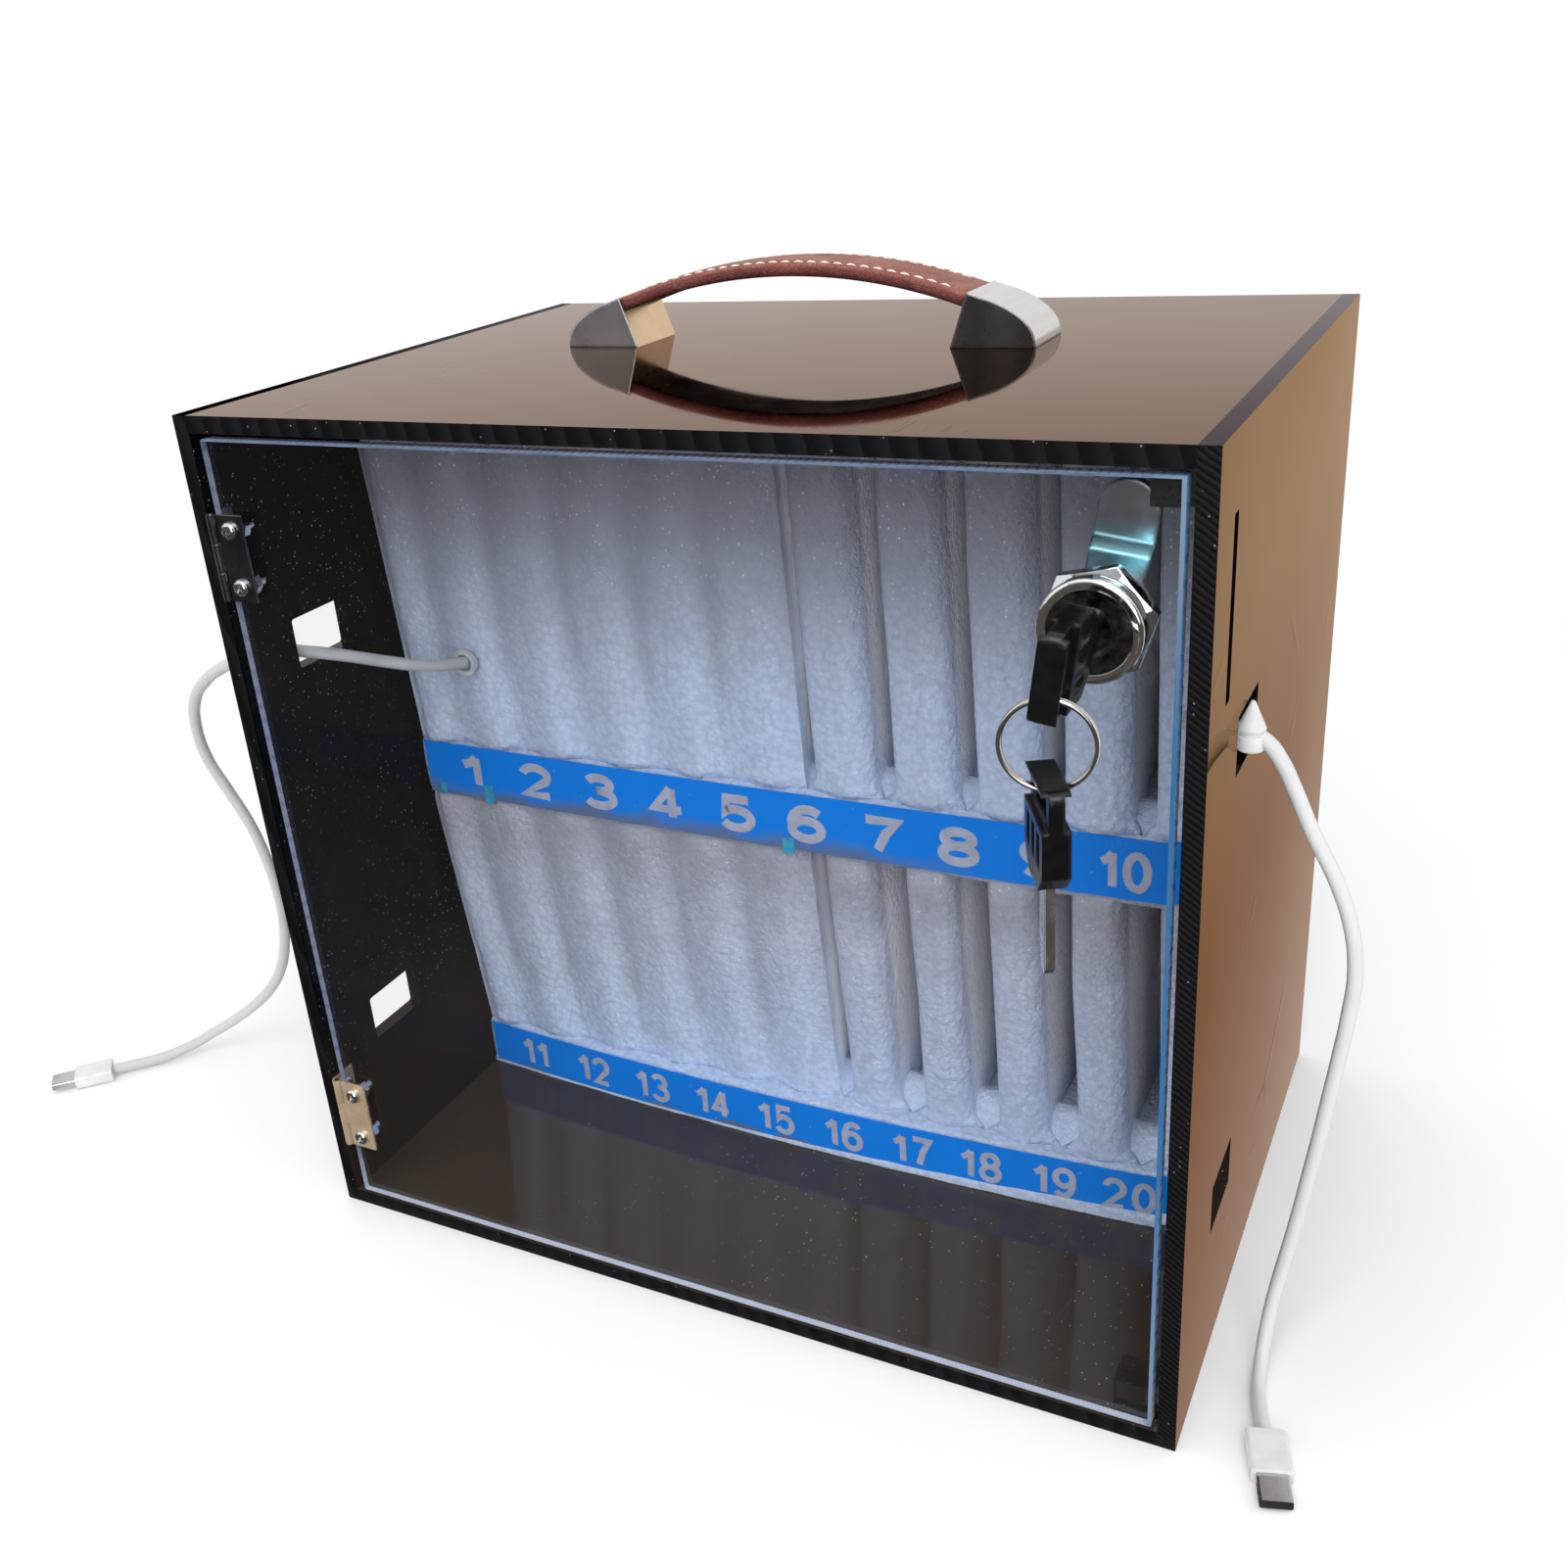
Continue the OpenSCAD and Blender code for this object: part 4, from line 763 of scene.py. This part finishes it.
def tier(name, z0, z1, seed, node, wide):
    """The eleven dividers of one tier, joined."""
    verts, faces = [], []
    for i in range(11):
        x0 = -FOAM_X if i == 0 else SLOTS[i - 1] + SLOT_W / 2
        x1 = FOAM_X if i == 10 else SLOTS[i] - SLOT_W / 2
        v, f = wall_of_foam(x0, x1, z0, z1, seed + i * 5.3, wide)
        faces += [tuple(a + len(verts) for a in face) for face in f]
        verts += v
    obj = piece(name, verts, faces, foam_mat, "cabinet", "foam")
    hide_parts(node)


def shelf(name, z0, z1, behind, bulge, node, lip, sag=0.0):
    """A tier's floor, its front edge soft and bulging."""
    across, round_steps = 90, 24
    rings = []
    for i in range(across + 1):
        x = -FOAM_X + 2 * FOAM_X * i / across
        y = bulge_y(x, behind, bulge) + 0.0003
        h = (z1 - z0) / 2
        ring = []
        for k in range(round_steps + 1):
            a = math.pi * k / round_steps - math.pi / 2
            rise = math.copysign(abs(math.sin(a)) ** 0.45, math.sin(a))
            inward = 0.0035 * (1 - abs(math.cos(a)) ** 0.35)
            z = z0 + h + h * rise
            grow = min(max((x + 0.02) / 0.10, 0), 1)
            if k < round_steps // 3:
                z -= sag * grow * (1 - k / (round_steps // 3)) ** 0.5
            soft = abs(wobble((x, 0, z), 0.0006, 60, 4.0))
            if lip:
                grow = min(max((x + 0.05) / 0.16, 0), 1)
                high = 0.0016 + 0.0024 * grow
                if z < z0 + high:
                    inward = -(0.0007 + 0.0016 * grow) * math.sqrt(1 - ((z - z0) / high) ** 2)
            ring.append((x, y + inward + soft, z))
        ring += [(x, FOAM_Y0, z1), (x, FOAM_Y0, z0), (x, y + 0.012, z0 - sag * grow)]
        rings.append(ring)
    verts, faces = loft(rings)
    obj = piece(name, verts, faces, foam_mat, "cabinet", "foam")
    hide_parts(node)


def slot_feet(name, z0, tall):
    """Soft lips of foam across the feet of the open slots, behind the noses."""
    verts, faces = [], []
    n, deep = 14, 0.026
    for x in SLOTS:
        if swell(x) < 0.3:
            continue
        rings = []
        for j in range(9):
            px = x + (j / 8 - 0.5) * (SLOT_W + 0.001)
            front = lean_y(z0) + 0.0036
            ring = []
            for k in range(n + 1):
                t = k / n
                lift = tall * math.sin(math.pi * min(t * 1.1, 1)) ** 1.5
                lift += wobble((px, t, z0), 0.0008, 70, 6.0) * t * (1 - t) * 4
                ring.append((px, front + deep * t, z0 + lift))
            ring += [(px, front + deep, z0 - 0.001), (px, front, z0 - 0.001)]
            rings.append(ring)
        v, f = loft(rings)
        faces += [tuple(a + len(verts) for a in face) for face in f]
        verts += v
    piece(name, verts, faces, foam_mat, "cabinet", "foam")


slot_feet("foam_feet_upper", HIGH[1], 0.005)
slot_feet("foam_feet_lower", LOW[1], 0.007)
tier("foam_walls_upper", HIGH[1], FOAM_TOP, 11.0, "foam_dividers_upper", 0.0034)
tier("foam_walls_lower", LOW[1], HIGH[0], 71.0, "foam_dividers_lower", 0.0052)
shelf("foam_shelf_upper", *HIGH, *HIGH_FRONT, "foam_floor_upper", False, 0.0028)
shelf("foam_shelf_lower", *LOW, *LOW_FRONT, "foam_floor_lower", True)


def foam_slab():
    """The sheet behind the slots."""
    nx, nz = 60, 50
    verts, faces = [], []
    for j in range(nz + 1):
        for i in range(nx + 1):
            x = -FOAM_X + 2 * FOAM_X * i / nx
            z = LOW[0] + (FOAM_TOP - LOW[0]) * j / nz
            verts.append((x, FOAM_Y0 + abs(wobble((x, 0, z), 0.0012, 40, 2.0)), z))
    w = nx + 1
    for j in range(nz):
        for i in range(nx):
            a = j * w + i
            faces.append((a, a + 1, a + w + 1, a + w))
    rim = (list(range(w)) + [j * w + nx for j in range(1, nz + 1)]
           + [nz * w + i for i in range(nx - 1, -1, -1)] + [j * w for j in range(nz - 1, 0, -1)])
    base = len(verts)
    for a in rim:
        verts.append((verts[a][0], FOAM_Y1, verts[a][2]))
    n = len(rim)
    for k in range(n):
        faces.append((rim[(k + 1) % n], rim[k], base + k, base + (k + 1) % n))
    faces.append(tuple(base + k for k in range(n)))
    obj = piece("foam_sheet_back", verts, faces, foam_mat, "cabinet", "foam")
    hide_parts("foam_back")


foam_slab()

# ------------------------------------------------------------------ numbers on the strips


def arc(cx, cy, rx, ry, a0, a1, n=22):
    return [(cx + rx * math.cos(math.radians(a0 + (a1 - a0) * k / n)),
             cy + ry * math.sin(math.radians(a0 + (a1 - a0) * k / n))) for k in range(n + 1)]


# strokes of each figure, drawn along their middles in a unit box
BAR = [(1, 0), (1, 1)]
FIGURES = {
    "0": [arc(0.5, 0.5, 0.5, 0.5, 0, 360)],
    "1": [BAR, [(0, 0.72), (0.5, 0.80), (1, 1)]],
    "2": [arc(0.5, 0.70, 0.5, 0.30, 168, -35) + [(0.04, 0), (1, 0)]],
    "3": [arc(0.48, 0.765, 0.44, 0.235, 158, -90) + [(0.36, 0.53)],
          [(0.36, 0.53)] + arc(0.48, 0.265, 0.52, 0.265, 90, -158)],
    "4": [[(0.66, 1), (0, 0.27), (1, 0.27)], [(0.68, 1), (0.68, 0)]],
    "5": [[(0.94, 1), (0.16, 1), (0.08, 0.50)] + arc(0.48, 0.32, 0.52, 0.32, 128, -152)],
    "6": [arc(0.5, 0.31, 0.5, 0.31, 0, 360), arc(0.56, 0.5, 0.56, 0.5, 190, 48)],
    "7": [[(0, 1), (1, 1), (0.62, 0.55), (0.36, 0)]],
    "8": [arc(0.5, 0.765, 0.43, 0.235, 0, 360), arc(0.5, 0.265, 0.5, 0.265, 0, 360)],
    "9": [arc(0.5, 0.69, 0.5, 0.31, 0, 360), arc(0.44, 0.5, 0.56, 0.5, 10, -132)],
}


def ribbon(path, width):
    """Left and right edges of a flat stroke with mitred corners."""
    n = len(path)
    closed = abs(path[0][0] - path[-1][0]) + abs(path[0][1] - path[-1][1]) < 1e-6
    edges = []
    for k in range(n):
        here = Vector(path[k])
        before = Vector(path[k - 1] if k else path[-2] if closed else path[0])
        after = Vector(path[k + 1] if k < n - 1 else path[1] if closed else path[-1])
        u = (here - before) if (here - before).length > 1e-9 else (after - here)
        v = (after - here) if (after - here).length > 1e-9 else u
        u, v = u.normalized(), v.normalized()
        side = Vector((-u.y - v.y, u.x + v.x))
        side = side.normalized() / max(side.normalized().dot(Vector((-u.y, u.x))), 0.55)
        edges.append((here + side * width / 2, here - side * width / 2))
    return edges


def numbers(name, first, xs, z0, z1, high, stroke, behind, bulge):
    """Figures of printed film on a strip's curved front: z0 and z1 are their middles at its two ends."""
    verts, faces = [], []
    for i, x in enumerate(xs):
        text = str(first + i)
        wide = high * (1.0 if len(text) == 1 else 0.64)
        slim = stroke * (1.0 if len(text) == 1 else 0.80)
        widths = [wide * (0.66 if c == "1" else 1.0) for c in text]
        left = x - (sum(widths) + 0.0016 * (len(text) - 1)) / 2
        low = z0 + (z1 - z0) * i / 9 - high / 2
        for c, w in zip(text, widths):
            for path in FIGURES[c]:
                path = [(slim / 2 + u * (w - slim), slim / 2 + v * (high - slim)) for u, v in path]
                rings = []
                for a, b in ribbon(path, slim):
                    ring = []
                    for q, off in ((a, 0.00004), (b, 0.00004), (b, 0.00014), (a, 0.00014)):
                        px, pz = left + q.x, low + min(max(q.y, 0), high)
                        ring.append((px, bulge_y(px, behind, bulge) - FILM_T - off, pz))
                    rings.append(ring)
                v, f = loft(rings)
                faces += [tuple(q + len(verts) for q in face) for face in f]
                verts += v
            left += w + 0.0016
    piece(name, verts, faces, digit_mat, "cabinet", "foam", smooth=False)


HIGH_NUMBERS = [-0.1190, -0.0916, -0.0656, -0.0398, -0.0142, 0.0103, 0.0355, 0.0600, 0.0853, 0.1095]
LOW_NUMBERS = [-0.1183, -0.0907, -0.0645, -0.0387, -0.0133, 0.0128, 0.0380, 0.0621, 0.0868, 0.1112]
numbers("numbers_upper", 1, HIGH_NUMBERS, 0.1380, 0.1368, 0.0132, 0.0031, *HIGH_FRONT)
numbers("numbers_lower", 11, LOW_NUMBERS, 0.0148, 0.0146, 0.0123, 0.0027, *LOW_FRONT)


def tapes():
    """Small bits of tape under the upper strip."""
    verts, faces = [], []
    for x, w, top, low in ((-0.1125, 0.0035, 0.1335, 0.1262), (-0.1325, 0.0025, 0.1315, 0.1272),
                           (0.0035, 0.004, 0.1318, 0.1258)):
        b = len(verts)
        for px, pz in ((x - w / 2, low), (x + w / 2, low + 0.0004),
                       (x + w / 2, top), (x - w / 2, top - 0.0005)):
            y = bulge_y(px, *HIGH_FRONT) - FILM_T
            verts.append((px, y - 0.00005, pz))
            verts.append((px, y - 0.00017, pz))
        faces += [(b + 1, b + 3, b + 5, b + 7), (b, b + 6, b + 4, b + 2), (b, b + 2, b + 3, b + 1),
                  (b + 2, b + 4, b + 5, b + 3), (b + 4, b + 6, b + 7, b + 5), (b + 6, b, b + 1, b + 7)]
    piece("tape_bits", verts, faces, tape_mat, "cabinet", "blue_film", smooth=False)


tapes()


def door_arris():
    """The fine polished bevel along the top and right of the clear sheet's face, painted blue for the light
    it gathers.
    """
    p = Paint("clear_bevel_painted_glow")
    marks = p.noise(90, 4, 0.6)
    tone = p.mix(p.span(marks, 0.3, 0.7), (0.070, 0.100, 0.165), (0.105, 0.145, 0.225))
    # painted light: along the right side the bevel is bluest in the middle and greyer towards its ends
    ends = p.math("MAXIMUM", p.span(p.axis("Z"), 0.10, 0.02), p.span(p.axis("Z"), 0.20, 0.262))
    side = p.mix(ends, (0.022, 0.105, 0.25), (0.13, 0.18, 0.26))
    tone = p.mix(p.span(p.axis("X"), 0.128, 0.1372), tone, side)
    p.set(Base_Color=tone, IOR=1.3)
    p.put(p.b.inputs["Roughness"], p.span(marks, 0.3, 0.7, 0.25, 0.45))
    verts, faces = [], []
    for x0, x1, z0, z1 in ((-0.1355, 0.1382, 0.26885, 0.2694), (0.1372, 0.1382, 0.0066, 0.26885)):
        b = len(verts)
        for y in (FRONT - 0.00002, FRONT - 0.00007):
            verts += [(x0, y, z0), (x1, y, z0), (x1, y, z1), (x0, y, z1)]
        faces += [(b, b + 3, b + 2, b + 1), (b + 4, b + 5, b + 6, b + 7)]
        faces += [(b + k, b + (k + 1) % 4, b + 4 + (k + 1) % 4, b + 4 + k) for k in range(4)]
    piece("door_bevel_painted_glow", verts, faces, p.mat, "door", "clear_acrylic", smooth=False)


door_arris()

# ------------------------------------------------------------------ handle


def arc_point(a, r, y):
    return HANDLE + Vector((r * math.sin(a), y, ARC_C + r * math.cos(a)))


def leather_grip():
    """Folded leather over a core: a crowned top, rolled edges and two stitched channels."""
    half, thick = GRIP_HALF, 0.0046
    outline = []
    n = 30
    for k in range(n + 1):
        u = -1 + 2 * k / n
        crown = 0.0001 - 0.0006 * abs(u) ** 2.5
        edge = 0.0016 * max(0.0, (abs(u) - 0.86) / 0.14) ** 2.2
        groove = 0.00045 * math.exp(-((abs(u) - STITCH_AT) / 0.035) ** 2)
        outline.append((u * half, crown - edge - groove - 0.0001))
    for k in range(n + 1):
        u = 1 - 2 * k / n
        edge = 0.0013 * max(0.0, (abs(u) - 0.86) / 0.14) ** 2.2
        outline.append((u * half, -thick + 0.0002 + edge))
    rings = []
    steps = 60
    for i in range(steps + 1):
        a = -ARC_A + 2 * ARC_A * i / steps
        a = max(min(a, ARC_A - 0.0006), -ARC_A + 0.0006)
        ring = []
        for y, dr in outline:
            jitter = wobble((a, y, dr), 0.00012, 90, 3.0) if dr > -0.002 else 0
            ring.append(arc_point(a, ARC_R + dr + jitter, y))
        rings.append(ring)
    verts, faces = loft(rings)
    obj = piece("leather_grip", verts, faces, leather_mat, "cabinet", "leather")
    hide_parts("handle_grip")


leather_grip()


def stitches():
    """Two rows of short thread loops along the grip."""
    verts, faces = [], []
    pitch, run, r = 0.0042, 0.0031, 0.00048
    count = int(2 * ARC_A * ARC_R / pitch) - 2
    for row in (-1, 1):
        for i in range(count):
            a0 = (i - (count - 1) / 2) * pitch / ARC_R
            rings = []
            for k in range(9):
                t = k / 8
                a = a0 + (t - 0.5) * run / ARC_R
                lift = 0.00022 * math.sin(math.pi * t) - 0.0004
                wide = r * math.sin(math.pi * (0.12 + 0.76 * t)) ** 0.6
                slant = row * 0.00012 * (t - 0.5)
                rings.append([arc_point(a, ARC_R - 0.0003 + lift + wide * math.sin(g),
                                        row * GRIP_HALF * STITCH_AT + slant + wide * math.cos(g))
                              for g in [2 * math.pi * j / 8 for j in range(8)]])
            v, f = loft(rings)
            faces += [tuple(q + len(verts) for q in face) for face in f]
            verts += v
    piece("grip_stitching", verts, faces, thread_mat, "cabinet", "leather")


stitches()

# ------------------------------------------------------------------ floor, world and lamps


def lay_floor():
    """A pale floor that fades into white away from the box."""
    floor_data = bpy.data.meshes.new("floor")
    floor_data.from_pydata([(-9, -9, 0), (9, -9, 0), (9, 9, 0), (-9, 9, 0)], [], [(0, 1, 2, 3)])
    floor = bpy.data.objects.new("floor", floor_data)
    floor.location.z = -0.0002
    scene.collection.objects.link(floor)
    p = Paint("floor")
    p.set(Base_Color=p.mix(p.noise(6, 3), (0.80, 0.80, 0.80), (0.84, 0.84, 0.84)), Roughness=0.9)
    glow = p.nt.nodes.new("ShaderNodeEmission")
    glow.inputs[1].default_value = 1.0
    length = p.nt.nodes.new("ShaderNodeVectorMath")
    length.operation = "LENGTH"
    p.put(length.inputs[0], p.co)
    lp = p.nt.nodes.new("ShaderNodeLightPath")
    mirror = p.math("MAXIMUM", lp.outputs["Is Glossy Ray"], lp.outputs["Is Transmission Ray"])
    fade = p.math("MULTIPLY", p.span(length.outputs["Value"], 0.2, 0.7), lp.outputs["Is Camera Ray"])
    fade = p.math("MAXIMUM", fade, mirror)
    # what is mirrored in front of the box is a dim floor, beside and behind it a white one
    front_dim = p.math("MULTIPLY", p.span(p.axis("Y"), -0.096, -0.106), lp.outputs["Is Glossy Ray"])
    p.put(glow.inputs[0], p.mix(front_dim, (1.0, 1.0, 1.0), (0.075, 0.065, 0.057)))
    blend = p.nt.nodes.new("ShaderNodeMixShader")
    p.put(blend.inputs[0], fade)
    p.nt.links.new(p.b.outputs[0], blend.inputs[1])
    p.nt.links.new(glow.outputs[0], blend.inputs[2])
    p.nt.links.new(blend.outputs[0], p.out.inputs[0])
    floor_data.materials.append(p.mat)


lay_floor()


def light_world():
    """White to the eye; mirrored in front, the room is dim up to shoulder height."""
    world = bpy.data.worlds.new("world")
    scene.world = world
    world.use_nodes = True
    nt = world.node_tree
    nt.nodes.clear()

    def put(socket, value):
        if isinstance(value, bpy.types.NodeSocket):
            nt.links.new(value, socket)
        else:
            socket.default_value = value

    def calc(op, a, b):
        n = nt.nodes.new("ShaderNodeMath")
        n.operation = op
        put(n.inputs[0], a)
        put(n.inputs[1], b)
        return n.outputs[0]

    def span(socket, a, b, lo, hi):
        n = nt.nodes.new("ShaderNodeMapRange")
        n.interpolation_type = "SMOOTHSTEP"
        put(n.inputs["Value"], socket)
        for key, value in (("From Min", a), ("From Max", b), ("To Min", lo), ("To Max", hi)):
            put(n.inputs[key], value)
        return n.outputs[0]

    def background(colour, strength):
        n = nt.nodes.new("ShaderNodeBackground")
        n.inputs[0].default_value = colour
        put(n.inputs[1], strength)
        return n.outputs[0]

    path = nt.nodes.new("ShaderNodeLightPath").outputs
    seen = calc("MAXIMUM", path["Is Camera Ray"], path["Is Glossy Ray"])
    seen = calc("MAXIMUM", seen, path["Is Transmission Ray"])
    seen = calc("MULTIPLY", seen, calc("LESS_THAN", path["Diffuse Depth"], 0.5))
    xyz = nt.nodes.new("ShaderNodeSeparateXYZ")
    put(xyz.inputs[0], nt.nodes.new("ShaderNodeTexCoord").outputs["Generated"])
    bright = calc("MAXIMUM", span(xyz.outputs[1], -0.35, 0.1, 0.12, 1.0),
                  span(xyz.outputs[2], 0.3, 0.75, 0.12, 1.0))
    bright = calc("MAXIMUM", bright, calc("SUBTRACT", 1.0, path["Is Glossy Ray"]))
    blend = nt.nodes.new("ShaderNodeMixShader")
    put(blend.inputs[0], seen)
    put(blend.inputs[1], background((0.96, 0.97, 1.0, 1), 1.05))
    put(blend.inputs[2], background((1, 1, 1, 1), bright))
    put(nt.nodes.new("ShaderNodeOutputWorld").inputs[0], blend.outputs[0])


light_world()


def lamp(name, at, aim, size, power, colour=(1, 1, 1)):
    data = bpy.data.lights.new(name, "AREA")
    data.shape = "DISK"
    data.size = size
    data.energy = power
    data.color = colour
    obj = bpy.data.objects.new(name, data)
    scene.collection.objects.link(obj)
    obj.location = at
    obj.rotation_euler = (Vector(aim) - Vector(at)).to_track_quat("-Z", "Y").to_euler()


lamp("key", (0.42, -1.12, 1.5), (0, 0, 0.12), 1.3, 17, (1.0, 0.99, 0.98))
lamp("front", (0.55, -1.75, 0.42), (0, 0, 0.12), 1.3, 9, (0.98, 0.99, 1.0))
lamp("fill", (-1.2, -0.9, 0.7), (0, 0, 0.12), 1.0, 2, (0.97, 0.98, 1.0))

scene.view_settings.view_transform = "Standard"
